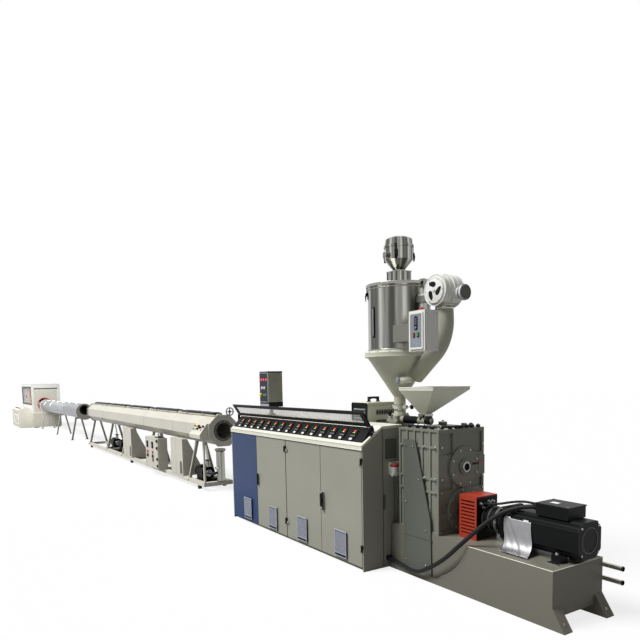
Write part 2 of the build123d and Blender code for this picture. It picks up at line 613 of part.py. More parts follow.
with BuildPart() as left_door:
    door(CONSOLE_START + MODULE + PLAY / 2, GAP_X - PLAY, LEFT_AXIS, -1, GAP_X - MODULE * 0.42)
    slab(CONSOLE_START + MODULE + 24.0, CONSOLE_START + MODULE + 44.0, CONSOLE_FRONT - 10.0,
         CONSOLE_FRONT, 480.0, 600.0)
save(left_door, "left_door")

with BuildPart() as middle_door:
    door(GAP_X + PLAY, GAP_X + MODULE - PLAY / 2, MIDDLE_AXIS, 1, GAP_X + MODULE * 0.47)
save(middle_door, "middle_door")

with BuildPart() as right_door:
    door(GAP_X + MODULE + PLAY / 2, CONSOLE_END - DOOR_RIGHT_MARGIN, RIGHT_AXIS, -1,
         CONSOLE_END - MODULE * 0.5)
    slab(GAP_X + MODULE + 36.0, GAP_X + MODULE + 60.0, CONSOLE_FRONT - 16.0, CONSOLE_FRONT,
         430.0, 590.0)
save(right_door, "right_door")

# Fixed halves of the hinges, on brackets from the post and the right end
with BuildPart() as door_hinges:
    for level in HINGE_LEVELS:
        top = level + HINGE_LENGTH + SEAT
        slab(GAP_X - 2.0, GAP_X + 2.0, HINGE_Y, POST_FRONT, top, top + HINGE_LENGTH)
        slab(LEFT_AXIS, MIDDLE_AXIS, HINGE_Y - 2.0, HINGE_Y + 4.0, top, top + HINGE_LENGTH)
        for axis_x in (LEFT_AXIS, MIDDLE_AXIS):
            rod_z(axis_x, HINGE_Y, top, top + HINGE_LENGTH, HINGE_R)
        rod_z(RIGHT_AXIS, HINGE_Y, top, top + HINGE_LENGTH, HINGE_R)
        slab(RIGHT_AXIS, CONSOLE_END - 2.0, HINGE_Y - 2.0, CONSOLE_FRONT, top, top + HINGE_LENGTH)
save(door_hinges, "door_hinges")

# Instrument panel: a wedge along the slope, with a row of framed instruments
BEZEL_FRONT = CONSOLE_FRONT + 22.0
PIVOT_Y = -463.0
PIVOT_Z = 1183.0


def slope_top(y):
    """Height of the top of the slope at a distance from the front."""
    return slope_under(y) + 22.0


COVER_Z = PIVOT_Z + 26.0
CHEEK = 8.0
CHEEK_HALF = 14.0
PIN_R = 5.0
PIN_PLAY = 0.3
FACE_RUN = PIVOT_Y - BEZEL_FRONT
FACE_RISE = PIVOT_Z - slope_top(BEZEL_FRONT) - 6.0
FACE_LENGTH = (FACE_RUN ** 2 + FACE_RISE ** 2) ** 0.5
face_plane = Plane(origin=(CONSOLE_START + BEZEL_END, BEZEL_FRONT, slope_top(BEZEL_FRONT) + 6.0),
                   x_dir=(1, 0, 0), z_dir=(0, -FACE_RISE / FACE_LENGTH, FACE_RUN / FACE_LENGTH))
INSTRUMENT_PITCH = (CONSOLE_END - CONSOLE_START - 2 * BEZEL_END - 160.0) / INSTRUMENTS
with BuildPart() as instrument_panel:
    profile_along_x([(BEZEL_FRONT, slope_top(BEZEL_FRONT) + SEAT),
                     (BEZEL_FRONT, slope_top(BEZEL_FRONT) + 6.0), (PIVOT_Y, PIVOT_Z),
                     (PIVOT_Y + 26.0, PIVOT_Z), (PIVOT_Y + 26.0, slope_top(PIVOT_Y + 26.0) + SEAT)],
                    CONSOLE_START + BEZEL_END, CONSOLE_END - BEZEL_END)
    with BuildSketch(face_plane) as frames:
        for place in range(INSTRUMENTS):
            with Locations((110.0 + INSTRUMENT_PITCH * (place + 0.25), FACE_LENGTH * 0.55)):
                RectangleRounded(76.0, 84.0, 4.0)
    extrude(frames.sketch, amount=7.0)
    for cheek_x in (CONSOLE_START, CONSOLE_END - CHEEK):
        back, front = PIVOT_Y + CHEEK_HALF, PIVOT_Y - CHEEK_HALF
        profile_along_x([(front, slope_top(front) + SEAT), (front, COVER_Z + 9.0),
                         (back, COVER_Z + 9.0), (back, slope_top(back) + SEAT)],
                        cheek_x, cheek_x + CHEEK)
        rod_x(cheek_x, cheek_x + CHEEK, PIVOT_Y, COVER_Z, PIN_R + PIN_PLAY, mode=Mode.SUBTRACT)
save(instrument_panel, "instrument_panel")

# Clear flip-up cover, held open over the instruments
lean_y = -cos(radians(COVER_ANGLE))
lean_z = sin(radians(COVER_ANGLE))
cover_plane = Plane(origin=(CONSOLE_START + 14.0, PIVOT_Y, COVER_Z), x_dir=(1, 0, 0),
                    z_dir=(0, -lean_z, lean_y))
COVER_LENGTH = CONSOLE_END - CONSOLE_START - 28.0
with BuildPart() as console_cover:
    with BuildSketch(cover_plane) as cover_frame:
        with Locations((COVER_LENGTH / 2, COVER_REACH / 2)):
            Rectangle(COVER_LENGTH, COVER_REACH)
            Rectangle(COVER_LENGTH - 2 * COVER_BAR, COVER_REACH - 2 * COVER_BAR,
                      mode=Mode.SUBTRACT)
    extrude(cover_frame.sketch, amount=COVER_DEPTH / 2, both=True)
    with BuildSketch(cover_plane) as cover_pane:
        with Locations((COVER_LENGTH / 2, COVER_REACH / 2)):
            Rectangle(COVER_LENGTH - 2 * COVER_BAR, COVER_REACH - 2 * COVER_BAR)
    extrude(cover_pane.sketch, amount=2.0, both=True)
    rod_x(CONSOLE_START, CONSOLE_START + 40.0, PIVOT_Y, COVER_Z, PIN_R)
    rod_x(CONSOLE_END - 40.0, CONSOLE_END, PIVOT_Y, COVER_Z, PIN_R)
save(console_cover, "console_cover")

# Post for the pendant on the flat of the console
PENDANT_X = -2490.0
PENDANT_Y = -200.0
PENDANT_LOW = 1345.0
PENDANT_HEIGHT = 365.0
with BuildPart() as pendant_arm:
    rod_z(PENDANT_X, PENDANT_Y, CONSOLE_TOP, CONSOLE_TOP + 10.0, 46.0)
    rod_z(PENDANT_X, PENDANT_Y, CONSOLE_TOP, PENDANT_LOW - SEAT, 20.0)
save(pendant_arm, "pendant_arm")

# Pendant control box: case, raised front panel and a dark lip top and bottom
with BuildPart() as pendant_box:
    slab(PENDANT_X - 110.0, PENDANT_X + 110.0, PENDANT_Y - 84.0, PENDANT_Y + 90.0,
         PENDANT_LOW, PENDANT_LOW + PENDANT_HEIGHT)
    slab(PENDANT_X - 100.0, PENDANT_X + 100.0, PENDANT_Y - 90.0, PENDANT_Y - 84.0,
         PENDANT_LOW + 14.0, PENDANT_LOW + PENDANT_HEIGHT - 14.0)
save(pendant_box, "pendant_box")

# Two wall sockets with hinged covers on the drive end of the console
with BuildPart() as wall_sockets:
    for socket_y in (-262.0, -186.0):
        slab(CONSOLE_END, CONSOLE_END + 26.0, socket_y - 30.0, socket_y + 30.0, 836.0, 900.0)
        profile_along_y([(CONSOLE_END, 836.0), (CONSOLE_END + 62.0, 812.0),
                         (CONSOLE_END + 40.0, 782.0), (CONSOLE_END, 800.0)],
                        socket_y - 26.0, socket_y + 26.0)
save(wall_sockets, "wall_sockets")


def octagon(across, turn):
    """Corner of an octagon with flats up, by number."""
    radius = across / cos(radians(22.5))
    angle = radians(22.5 + 45.0 * turn)
    return radius * cos(angle), radius * sin(angle)


def tank_plate(turn, x0, x1):
    """One long plate of the octagonal tank, mitred a little short of its neighbours."""
    outer_a, outer_b = octagon(TANK_HALF, turn), octagon(TANK_HALF, turn + 1)
    inner_a, inner_b = octagon(TANK_HALF - TANK_WALL, turn), octagon(TANK_HALF - TANK_WALL, turn + 1)
    trim = 0.004
    corners = []
    for here, there in ((outer_a, outer_b), (outer_b, outer_a), (inner_b, inner_a), (inner_a, inner_b)):
        y = here[0] + (there[0] - here[0]) * trim
        z = here[1] + (there[1] - here[1]) * trim
        corners.append((y, LINE_Z + z))
    profile_along_x(corners, x0, x1)


# Vacuum tank shell: seven plates of an octagon, the eighth side is closed by bars and lids
END_THICK = 14.0
with BuildPart() as tank_shell:
    for side in range(8):
        if side != 1:
            tank_plate(side, TANK_START + END_THICK + SEAT, TANK_END - END_THICK - SEAT)
save(tank_shell, "tank_shell")

# End plates with the round opening for the pipe, and the wheel bracket on the front one
PORT_R = 110.0
HEAD_HALF = TANK_HALF + 22.0
WHEEL_X = TANK_END - END_THICK / 2
WHEEL_Z = LINE_Z + HEAD_HALF + 45.0
WHEEL_IN = 127.0
WHEEL_Y = HEAD_HALF - WHEEL_IN
with BuildPart() as tank_ends:
    for end_x in (TANK_START, TANK_END - END_THICK):
        with BuildSketch(Plane.YZ.offset(end_x)) as end_plate:
            with Locations((0, LINE_Z)):
                RegularPolygon(HEAD_HALF, 8, major_radius=False, rotation=22.5)
                Circle(PORT_R, mode=Mode.SUBTRACT)
        extrude(end_plate.sketch, amount=END_THICK)
    slab(WHEEL_X - 6.0, WHEEL_X + 6.0, WHEEL_Y - 9.0, WHEEL_Y + 9.0,
         LINE_Z + HEAD_HALF - 14.0, WHEEL_Z + 12.0)
    rod_x(WHEEL_X + 6.0, WHEEL_X + 40.0, WHEEL_Y, WHEEL_Z, 7.0)
save(tank_ends, "tank_ends")

# Hand wheel on its stub
with BuildPart() as hand_wheel:
    with BuildSketch(Plane.YZ.offset(WHEEL_X + 12.0)) as wheel:
        with Locations((WHEEL_Y, WHEEL_Z)):
            Circle(62.0)
            Circle(48.0, mode=Mode.SUBTRACT)
            Rectangle(12.0, 110.0)
            Rectangle(110.0, 12.0)
            Circle(20.0)
            Circle(7.5, mode=Mode.SUBTRACT)
    extrude(wheel.sketch, amount=14.0)
save(hand_wheel, "hand_wheel")

# Cross bars between the lids
TOP_Z = LINE_Z + TANK_HALF
BAR = 60.0
INNER_LEFT = TANK_START + END_THICK + SEAT
INNER_RIGHT = TANK_END - END_THICK - SEAT
LID_PITCH = (INNER_RIGHT - INNER_LEFT - BAR) / LIDS
TOP_EDGE = abs(octagon(TANK_HALF - TANK_WALL, 1)[0]) - 1.0
with BuildPart() as tank_top_bars:
    for place in range(LIDS + 1):
        bar_x = INNER_LEFT + place * LID_PITCH
        slab(bar_x, bar_x + BAR, -TOP_EDGE, TOP_EDGE, TOP_Z - TANK_WALL, TOP_Z)
        slab(bar_x, bar_x + BAR, TOP_EDGE - 30.0, TOP_EDGE, TOP_Z, TOP_Z + 22.0)
save(tank_top_bars, "tank_top_bars")

# Five lids over the openings, each with a dark sealing strip and a lifting edge
LID_Y = 74.0
LID_LOW = TOP_Z + SEAT
for place in range(LIDS):
    with BuildPart() as lid:
        lid_x = INNER_LEFT + place * LID_PITCH + BAR + 6.0
        lid_end = lid_x + LID_PITCH - BAR - 12.0
        slab(lid_x, lid_end, -LID_Y - 14.0, LID_Y, LID_LOW, LID_LOW + 16.0)
        slab(lid_x, lid_end, -LID_Y - 26.0, -LID_Y - 14.0, LID_LOW + 6.0, LID_LOW + 22.0)
        slab(lid_x + 30.0, lid_end - 30.0, -30.0, 30.0, LID_LOW + 16.0, LID_LOW + 30.0)
        rod_x(lid_x - 6.0 + SEAT, lid_x + 30.0, LID_Y, LID_LOW + 10.0, PIN_R)
        rod_x(lid_end - 30.0, lid_end + 6.0 - SEAT, LID_Y, LID_LOW + 10.0, PIN_R)
    save(lid, f"tank_lid_{place + 1}")

# Tank frame: two rails, cross beams and splayed legs, all separate bars
FRAME_START = TANK_START - 40.0
FRAME_END = -4600.0
RAIL_IN = RAIL_HALF - RAIL / 2
BEAM_PLACES = 5
LEG_PLACES = (-12380.0, -10550.0, -9250.0, -7450.0, -5250.0)
LEG_HALF = 22.0
RAIL_TOP = RAIL_LOW + RAIL
with BuildPart() as tank_frame:
    for rail_y in (-RAIL_HALF, RAIL_HALF):
        slab(FRAME_START, FRAME_END, rail_y - RAIL / 2, rail_y + RAIL / 2, RAIL_LOW, RAIL_TOP)
    for place in range(BEAM_PLACES):
        beam_x = FRAME_START + place * (FRAME_END - FRAME_START - 80.0) / (BEAM_PLACES - 1)
        slab(beam_x, beam_x + 80.0, -RAIL_IN + SEAT, RAIL_IN - SEAT, RAIL_LOW, RAIL_TOP)
save(tank_frame, "tank_frame")

HIP_Z = LINE_Z - TANK_HALF - SEAT
with BuildPart() as tank_legs:
    for leg_x in LEG_PLACES:
        for side in (-1, 1):
            leg((leg_x, side * RAIL_HALF, RAIL_TOP), (leg_x, side * 60.0, HIP_Z), LEG_HALF)
save(tank_legs, "tank_legs")

# Wheels under the rails
WHEEL_R = RAIL_LOW / 2
with BuildPart() as tank_wheels:
    for wheel_x in (FRAME_START + 250.0, (FRAME_START + FRAME_END) / 2, FRAME_END - 250.0):
        for side in (-1, 1):
            rod_y(wheel_x, side * RAIL_HALF - 22.0, side * RAIL_HALF + 22.0, WHEEL_R, WHEEL_R)
save(tank_wheels, "tank_wheels")

# Two sump boxes with sloping backs beside the tank
SUMP_LOW = RAIL_TOP
with BuildPart() as water_boxes:
    for box_start, box_length in ((-9040.0, 620.0), (-6020.0, 560.0)):
        profile_along_x([(-236.0, SUMP_LOW), (140.0, SUMP_LOW), (-150.0, LINE_Z - 190.0),
                         (-236.0, LINE_Z - 190.0)], box_start, box_start + box_length)
save(water_boxes, "water_boxes")

# Button box of the tank, standing on the near rail
with BuildPart() as tank_control_box:
    slab(-7100.0, -6380.0, -330.0, -172.0, RAIL_TOP, 660.0)
    slab(-7086.0, -6394.0, -336.0, -330.0, RAIL_TOP + 14.0, 646.0)
save(tank_control_box, "tank_control_box")

# Sloping operator desk at the front of the tank, on a post
DESK_X = -4800.0
DESK_LENGTH = 420.0
with BuildPart() as operator_desk:
    profile_along_x([(-TANK_HALF - SEAT, 780.0), (-350.0, 800.0), (-356.0, 850.0),
                     (-240.0, 1010.0), (-TANK_HALF - SEAT, 1010.0)],
                    DESK_X, DESK_X + DESK_LENGTH)
    slab(DESK_X + 190.0, DESK_X + 226.0, -RAIL_HALF - RAIL / 2, -RAIL_HALF - RAIL / 2 + 36.0 - 12.0,
         RAIL_TOP, 790.0)
save(operator_desk, "operator_desk")

# Pumps and motors on cross plates between the rails
PUMP_R = 82.0
FILTER_R = 62.0
FILTER_TOP = 600.0
FILTER_Y = 60.0
PUMPS = ((-11000.0, 40.0), (-10300.0, 40.0), (-7800.0, 40.0), (-5180.0, -70.0))
with BuildPart() as tank_pumps:
    for pump_x, pump_y in PUMPS:
        pump_z = RAIL_TOP + 30.0 + PUMP_R
        rod_x(pump_x, pump_x + 300.0, pump_y, pump_z, PUMP_R)
        rod_x(pump_x + 300.0, pump_x + 360.0, pump_y, pump_z, PUMP_R + 22.0)
        slab(pump_x + 40.0, pump_x + 260.0, pump_y - 60.0, pump_y + 60.0, RAIL_TOP, pump_z)
        slab(pump_x + 60.0, pump_x + 240.0, -RAIL_IN + SEAT, RAIL_IN - SEAT, RAIL_LOW, RAIL_TOP)
        slab(pump_x + 100.0, pump_x + 190.0, pump_y - 55.0, pump_y + 55.0, pump_z, pump_z + PUMP_R + 26.0)
    rod_z(FRAME_END - 40.0, FILTER_Y, RAIL_TOP, FILTER_TOP, FILTER_R)
save(tank_pumps, "tank_pumps")


def stave(turn, x0, x1):
    """One curved eighth of the round tank wall, a little short of its neighbours."""
    half = radians(22.5) - 0.6 / SPRAY_R
    middle = radians(45.0 * turn)
    outer = [(SPRAY_R * cos(middle + k * half), SPRAY_Z + SPRAY_R * sin(middle + k * half))
             for k in (-1, 0, 1)]
    bore = SPRAY_R - TANK_WALL
    inner = [(bore * cos(middle + k * half), SPRAY_Z + bore * sin(middle + k * half))
             for k in (1, 0, -1)]
    with BuildSketch(Plane.YZ.offset(x0)) as section:
        with BuildLine():
            ThreePointArc(*outer)
            Line(outer[2], inner[0])
            ThreePointArc(*inner)
            Line(inner[2], outer[0])
        make_face()
    extrude(section.sketch, amount=x1 - x0)


# Spray tank: a round shell in eight long staves
with BuildPart() as spray_shell:
    for side in range(8):
        stave(side, SPRAY_START + END_THICK + SEAT, SPRAY_END - END_THICK - SEAT)
save(spray_shell, "spray_shell")

with BuildPart() as spray_ends:
    for end_x in (SPRAY_START, SPRAY_END - END_THICK):
        with BuildSketch(Plane.YZ.offset(end_x)) as ring:
            with Locations((0, SPRAY_Z)):
                Circle(SPRAY_R + 24.0)
            with Locations((0, LINE_Z)):
                Circle(PORT_R, mode=Mode.SUBTRACT)
        extrude(ring.sketch, amount=END_THICK)
save(spray_ends, "spray_ends")

# Splayed legs and saddles of the spray tank
with BuildPart() as spray_stands:
    for stand_x in (SPRAY_START + 260.0, (SPRAY_START + SPRAY_END) / 2, SPRAY_END - 900.0):
        slab(stand_x - 22.0, stand_x + 22.0, -104.0, 104.0,
             SPRAY_Z - SPRAY_R - 34.0, SPRAY_Z - SPRAY_R - SEAT)
        for side in (-1, 1):
            leg((stand_x, side * 210.0, 0), (stand_x, side * 78.0, SPRAY_Z - SPRAY_R - 34.0), LEG_HALF)
save(spray_stands, "spray_stands")

# Haul-off: solid lower body on four pads
HAUL_START = HAUL_FACE - HAUL_LENGTH
HAUL_DECK = 560.0
HAUL_SKIN = 30.0
with BuildPart() as haul_off_base:
    slab(HAUL_START, HAUL_FACE, HAUL_FRONT, HAUL_BACK, HAUL_LOW, HAUL_DECK)
    for pad_x in (HAUL_START + 60.0, HAUL_FACE - 260.0):
        for pad_y in (HAUL_FRONT + 40.0, HAUL_BACK - 200.0):
            slab(pad_x, pad_x + 200.0, pad_y, pad_y + 160.0, 0, HAUL_LOW)
save(haul_off_base, "haul_off_base")

# Housing: corner posts, roof, back wall and the sill below the window
WINDOW_LOW = 860.0
WINDOW_TOP = 1575.0
with BuildPart() as haul_off_housing:
    slab(HAUL_START, HAUL_FACE, HAUL_FRONT, HAUL_BACK, WINDOW_TOP + SEAT, HAUL_TOP)
    slab(HAUL_START + 90.0, HAUL_FACE - 90.0, HAUL_BACK - HAUL_SKIN, HAUL_BACK, HAUL_DECK, WINDOW_TOP)
    slab(HAUL_START + 90.0, HAUL_FACE - 90.0, HAUL_FRONT, HAUL_FRONT + HAUL_SKIN,
         HAUL_DECK, WINDOW_LOW)
save(haul_off_housing, "haul_off_housing")

# End walls with the pipe openings, set back inside their frames
HAUL_MID = (HAUL_FRONT + HAUL_BACK) / 2
with BuildPart() as haul_off_ends:
    for end_x, face_x in ((HAUL_START, HAUL_START), (HAUL_FACE - 90.0 + SEAT, HAUL_FACE - 24.0)):
        slab(end_x, end_x + 90.0 - SEAT, HAUL_FRONT, HAUL_BACK, HAUL_DECK, WINDOW_TOP)
        slab(face_x, face_x + 24.0, HAUL_FRONT + 70.0, HAUL_BACK - 70.0,
             HAUL_DECK + 50.0, WINDOW_TOP - 60.0, mode=Mode.SUBTRACT)
        rod_x(end_x, end_x + 90.0, 0, LINE_Z, RING_R - 30.0, mode=Mode.SUBTRACT)
save(haul_off_ends, "haul_off_ends")

# Red ring round the entry
with BuildPart() as entry_ring:
    rod_x(HAUL_FACE - 24.0 + SEAT, HAUL_FACE + 40.0, 0, LINE_Z, RING_R)
    rod_x(HAUL_FACE - 24.0 + SEAT, HAUL_FACE + 40.0, 0, LINE_Z, RING_R - 30.0, mode=Mode.SUBTRACT)
save(entry_ring, "entry_ring")

# Window on the operator side: a framed pane
with BuildPart() as haul_off_window:
    slab(HAUL_START + 90.0 + SEAT, HAUL_FACE - 90.0 - SEAT, HAUL_FRONT, HAUL_FRONT + 24.0,
         WINDOW_LOW + SEAT, WINDOW_TOP - SEAT)
save(haul_off_window, "haul_off_window")

# Upper and lower belt tracks that grip the pipe
TRACK_START = HAUL_START + 420.0
TRACK_END = HAUL_FACE - 420.0
with BuildPart() as belt_tracks:
    for track_low, track_high in ((HAUL_DECK, LINE_Z - 100.0), (LINE_Z + 100.0, WINDOW_TOP)):
        slab(TRACK_START, TRACK_END, -90.0, 90.0, track_low, track_high)
save(belt_tracks, "belt_tracks")

# Lower control cabinet in front of the haul-off
with BuildPart() as haul_off_desk:
    slab(HAUL_START + 400.0, HAUL_FACE - 260.0, HAUL_FRONT - 440.0, HAUL_FRONT, 0, 690.0)
    profile_along_x([(HAUL_FRONT - 440.0, 690.0), (HAUL_FRONT, 690.0), (HAUL_FRONT, 770.0),
                     (HAUL_FRONT - 260.0, 770.0)],
                    HAUL_START + 400.0, HAUL_FACE - 260.0)
save(haul_off_desk, "haul_off_desk")

# Two motor cables: a thick one over the bed edge and down to the console, a thin one to the fans
CABLE_R = 16.0
FAN_CABLE_R = 9.0
CABLE_CLEAR = 24.0
CABLE_Y = BED_FRONT - CABLE_R - CABLE_CLEAR
TERMINAL_MID = MOTOR_HIGH + TERMINAL_HEIGHT / 2
FAN_EXIT = GUARD_START + GUARD_LENGTH + SEAT
CONSOLE_ENTRY = 80.0
MAIN_ROUTE = [(TERMINAL_START - SEAT, -50.0, TERMINAL_MID), (955.0, -50.0, TERMINAL_MID),
              (790.0, -178.0, TERMINAL_MID - 74.0), (602.0, CABLE_Y, BED_TOP + 14.0),
              (441.0, CABLE_Y, 243.0), (270.0, CABLE_Y, 128.0), (110.0, CABLE_Y, CABLE_R + 30.0),
              (-150.0, CABLE_Y + 30.0, CONSOLE_ENTRY), (CONSOLE_END + SEAT, CABLE_Y + 30.0, CONSOLE_ENTRY)]
FAN_ROUTE = [(FAN_EXIT, -60.0, 655.0), (650.0, -60.0, 655.0), (850.0, 10.0, TERMINAL_MID + 6.0),
             (975.0, 30.0, TERMINAL_MID), (TERMINAL_START - SEAT, 30.0, TERMINAL_MID)]


def bend_radius(route):
    """The largest radius that fits every corner of a route: 0.45 of the shorter run over tan(turn / 2)."""
    fits = []
    for before, here, after in zip(route, route[1:], route[2:]):
        first, second = Vector(*here) - Vector(*before), Vector(*after) - Vector(*here)
        half_turn = radians(first.get_angle(second)) / 2
        fits.append(0.45 * min(first.length, second.length) / tan(half_turn))
    return min(fits)


def corner_tube(route, radius):
    """A round cable through a route's corners, each corner rounded as far as its runs allow."""
    with BuildLine() as path:
        FilletPolyline(*route, radius=bend_radius(route))
    with BuildSketch(Plane(origin=path.line @ 0, z_dir=path.line % 0)) as section:
        Circle(radius)
    sweep(section.sketch, path=path.line)
    print("cable bend radius", round(bend_radius(route), 1), "length", round(path.wires()[0].length, 1))


with BuildPart() as motor_cables:
    corner_tube(MAIN_ROUTE, CABLE_R)
    corner_tube(FAN_ROUTE, FAN_CABLE_R)
save(motor_cables, "motor_cables")
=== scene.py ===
"""Looks of a plastic pipe extrusion line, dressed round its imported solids. Metres, X along the line, Z up."""

import math

import bmesh
import bpy
import numpy as np
from bpy.props import FloatProperty, FloatVectorProperty, IntProperty, PointerProperty
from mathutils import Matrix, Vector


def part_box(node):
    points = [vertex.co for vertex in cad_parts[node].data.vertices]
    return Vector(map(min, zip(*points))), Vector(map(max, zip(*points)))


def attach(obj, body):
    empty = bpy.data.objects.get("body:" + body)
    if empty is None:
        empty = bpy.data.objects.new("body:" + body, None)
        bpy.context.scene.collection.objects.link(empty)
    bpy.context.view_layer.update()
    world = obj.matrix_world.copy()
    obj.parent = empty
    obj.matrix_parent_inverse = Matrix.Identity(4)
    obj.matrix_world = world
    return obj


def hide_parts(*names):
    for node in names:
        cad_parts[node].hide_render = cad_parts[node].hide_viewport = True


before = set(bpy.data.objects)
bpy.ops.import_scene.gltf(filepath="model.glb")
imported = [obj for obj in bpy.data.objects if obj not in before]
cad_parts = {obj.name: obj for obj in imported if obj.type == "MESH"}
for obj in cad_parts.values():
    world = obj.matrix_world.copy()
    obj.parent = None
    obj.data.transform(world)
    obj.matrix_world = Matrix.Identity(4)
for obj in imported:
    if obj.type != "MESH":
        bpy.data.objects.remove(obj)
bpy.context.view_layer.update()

bl_info = {
    "name": "Pipe extrusion line",
    "version": (1, 0, 0),
    "blender": (4, 5, 0),
    "location": "View3D > Sidebar > Pipe line",
    "description": "Dresses the packed solids of a pipe extrusion line with finishes and fittings",
    "category": "Object",
}

MACHINE = "line_frame"
CAMERA_TURN = (1.4749582, 0.0201529, 0.9981364)


def tone(red, green, blue):
    """A colour written in display values 0 to 255, as linear light: ((c / 255 + 0.055) / 1.055) ^ 2.4."""
    display = np.array([red, green, blue]) / 255.0
    linear = np.where(display <= 0.04045, display / 12.92, ((display + 0.055) / 1.055) ** 2.4)
    return tuple(float(c) for c in linear)


# Shapes: a shape is (points, faces), points an n by 3 array and faces a list of corner lists


def join(*shapes):
    """Several shapes as one: the points one after the other, the faces counted on."""
    points, faces, start = [], [], 0
    for shape_points, shape_faces in shapes:
        points.append(shape_points)
        faces += [[start + corner for corner in face] for face in shape_faces]
        start += len(shape_points)
    return np.concatenate(points), faces


def copies(shape, places):
    """The shape once at each place: P(k, i) = point(i) + place(k)."""
    points, faces = shape
    places = np.asarray(places, float)
    moved = (points[None, :, :] + places[:, None, :]).reshape(-1, 3)
    count = len(points)
    return moved, [[k * count + c for c in face] for k in range(len(places)) for face in faces]


def turned_about(shape, centre, axis, degrees):
    """The shape turned: P' = centre + R (P - centre), R the rotation by that angle about a main axis."""
    points, faces = shape
    c, s = math.cos(math.radians(degrees)), math.sin(math.radians(degrees))
    one, two = (axis + 1) % 3, (axis + 2) % 3
    around = np.eye(3)
    around[one, one], around[one, two], around[two, one], around[two, two] = c, -s, s, c
    return (points - centre) @ around.T + centre, faces


def grid_faces(rows, columns, close_rows=False, close_columns=False):
    """Fours of corners over a grid of rows by columns, closed either way if asked."""
    last_row = rows if close_rows else rows - 1
    last_column = columns if close_columns else columns - 1
    r, c = np.meshgrid(np.arange(last_row), np.arange(last_column), indexing="ij")
    r2, c2 = (r + 1) % rows, (c + 1) % columns
    fours = np.stack([r * columns + c, r * columns + c2, r2 * columns + c2, r2 * columns + c], -1)
    return fours.reshape(-1, 4).tolist()


def prism(outline, low, high, axis):
    """An outline carried along an axis: P(u, v) = outline(u) + (low + v (high - low)) axis, v in 0 and 1."""
    outline = np.asarray(outline, float)
    count = len(outline)
    points = np.zeros((2, count, 3))
    points[:, :, [i for i in range(3) if i != axis]] = outline
    points[0, :, axis], points[1, :, axis] = low, high
    faces = grid_faces(2, count, close_columns=True)
    faces += [list(range(count))[::-1], list(range(count, 2 * count))]
    return points.reshape(-1, 3), faces


def block(low, high):
    """A block between two corners, as a prism of its footprint."""
    (x0, y0, z0), (x1, y1, z1) = low, high
    return prism([(x0, y0), (x1, y0), (x1, y1), (x0, y1)], z0, z1, 2)


def turning(profile, centre, axis=2, steps=40):
    """A profile (r, h) turned about an axis: P(u, v) = centre + r(u) (cos v e1 + sin v e2) + h(u) e3."""
    profile = np.asarray(profile, float)
    angle = np.linspace(0, 2 * np.pi, steps, endpoint=False)
    one, two = (axis + 1) % 3, (axis + 2) % 3
    points = np.zeros((len(profile), steps, 3))
    points[:, :, one] = profile[:, 0, None] * np.cos(angle)
    points[:, :, two] = profile[:, 0, None] * np.sin(angle)
    points[:, :, axis] = profile[:, 1, None]
    return points.reshape(-1, 3) + np.asarray(centre), grid_faces(len(profile), steps, close_columns=True)


def rod(centre, axis, radius, low, high, steps=24, edge=0.15):
    """A round bar with eased ends: a turning of (0, low) (r - e, low) (r, low + e) ... (0, high)."""
    ease = radius * edge
    return turning([(0, low), (radius - ease, low), (radius, low + ease), (radius, high - ease),
                    (radius - ease, high), (0, high)], centre, axis, steps)


def ring(centre, axis, radius, thick, steps=48, section=12):
    """A torus: P(u, v) = centre + (R + t cos u) (cos v e1 + sin v e2) + t sin u e3."""
    around = np.linspace(0, 2 * np.pi, section, endpoint=False)
    profile = np.stack([radius + thick * np.cos(around), thick * np.sin(around)], -1)
    points, _ = turning(profile, centre, axis, steps)
    return points, grid_faces(section, steps, close_rows=True, close_columns=True)


def tube(path, radius, section=10):
    """A pipe along a path: P(u, v) = path(u) + r (cos v n(u) + sin v b(u)), n and b square to the path."""
    path = np.asarray(path, float)
    along = np.gradient(path, axis=0)
    along /= np.linalg.norm(along, axis=1, keepdims=True)
    helper = np.eye(3)[np.argmin(np.abs(along).max(axis=0))]
    normal = np.cross(along, helper)
    normal /= np.linalg.norm(normal, axis=1, keepdims=True)
    second = np.cross(along, normal)
    angle = np.linspace(0, 2 * np.pi, section, endpoint=False)
    points = (path[:, None, :] + radius * (np.cos(angle)[None, :, None] * normal[:, None, :]
                                           + np.sin(angle)[None, :, None] * second[:, None, :]))
    faces = grid_faces(len(path), section, close_columns=True)
    faces += [list(range(section))[::-1],
              list(range((len(path) - 1) * section, len(path) * section))]
    return points.reshape(-1, 3), faces


def smooth_path(corners, count=40):
    """A path through corners: Catmull and Rom's cubic between each two, as one array sum."""
    corners = np.asarray(corners, float)
    held = np.concatenate([2 * corners[:1] - corners[1:2], corners, 2 * corners[-1:] - corners[-2:-1]])
    where = np.linspace(0, len(corners) - 1 - 1e-9, count)
    k = where.astype(int)
    t = (where - k)[:, None]
    a, b, c, d = held[k], held[k + 1], held[k + 2], held[k + 3]
    return 0.5 * (2 * b + (c - a) * t + (2 * a - 5 * b + 4 * c - d) * t ** 2
                  + (3 * b - a - 3 * c + d) * t ** 3)


def rounded(width, height, radius, centre=(0.0, 0.0), steps=5):
    """A rectangle with round corners, as points in a plane: four quarter circles about inset corners."""
    quarter = np.linspace(0, np.pi / 2, steps)
    outline = []
    for turn, (sx, sy) in enumerate(((1, 1), (-1, 1), (-1, -1), (1, -1))):
        angle = quarter + turn * np.pi / 2
        outline.append(np.stack([centre[0] + sx * (width / 2 - radius) + radius * np.cos(angle),
                                 centre[1] + sy * (height / 2 - radius) + radius * np.sin(angle)], -1))
    return np.concatenate(outline)


def slab(centre, size, low, high, axis):
    """A plate with round corners from low to high along an axis, its size (width, height, corner)."""
    return prism(rounded(*size, centre), low, high, axis)


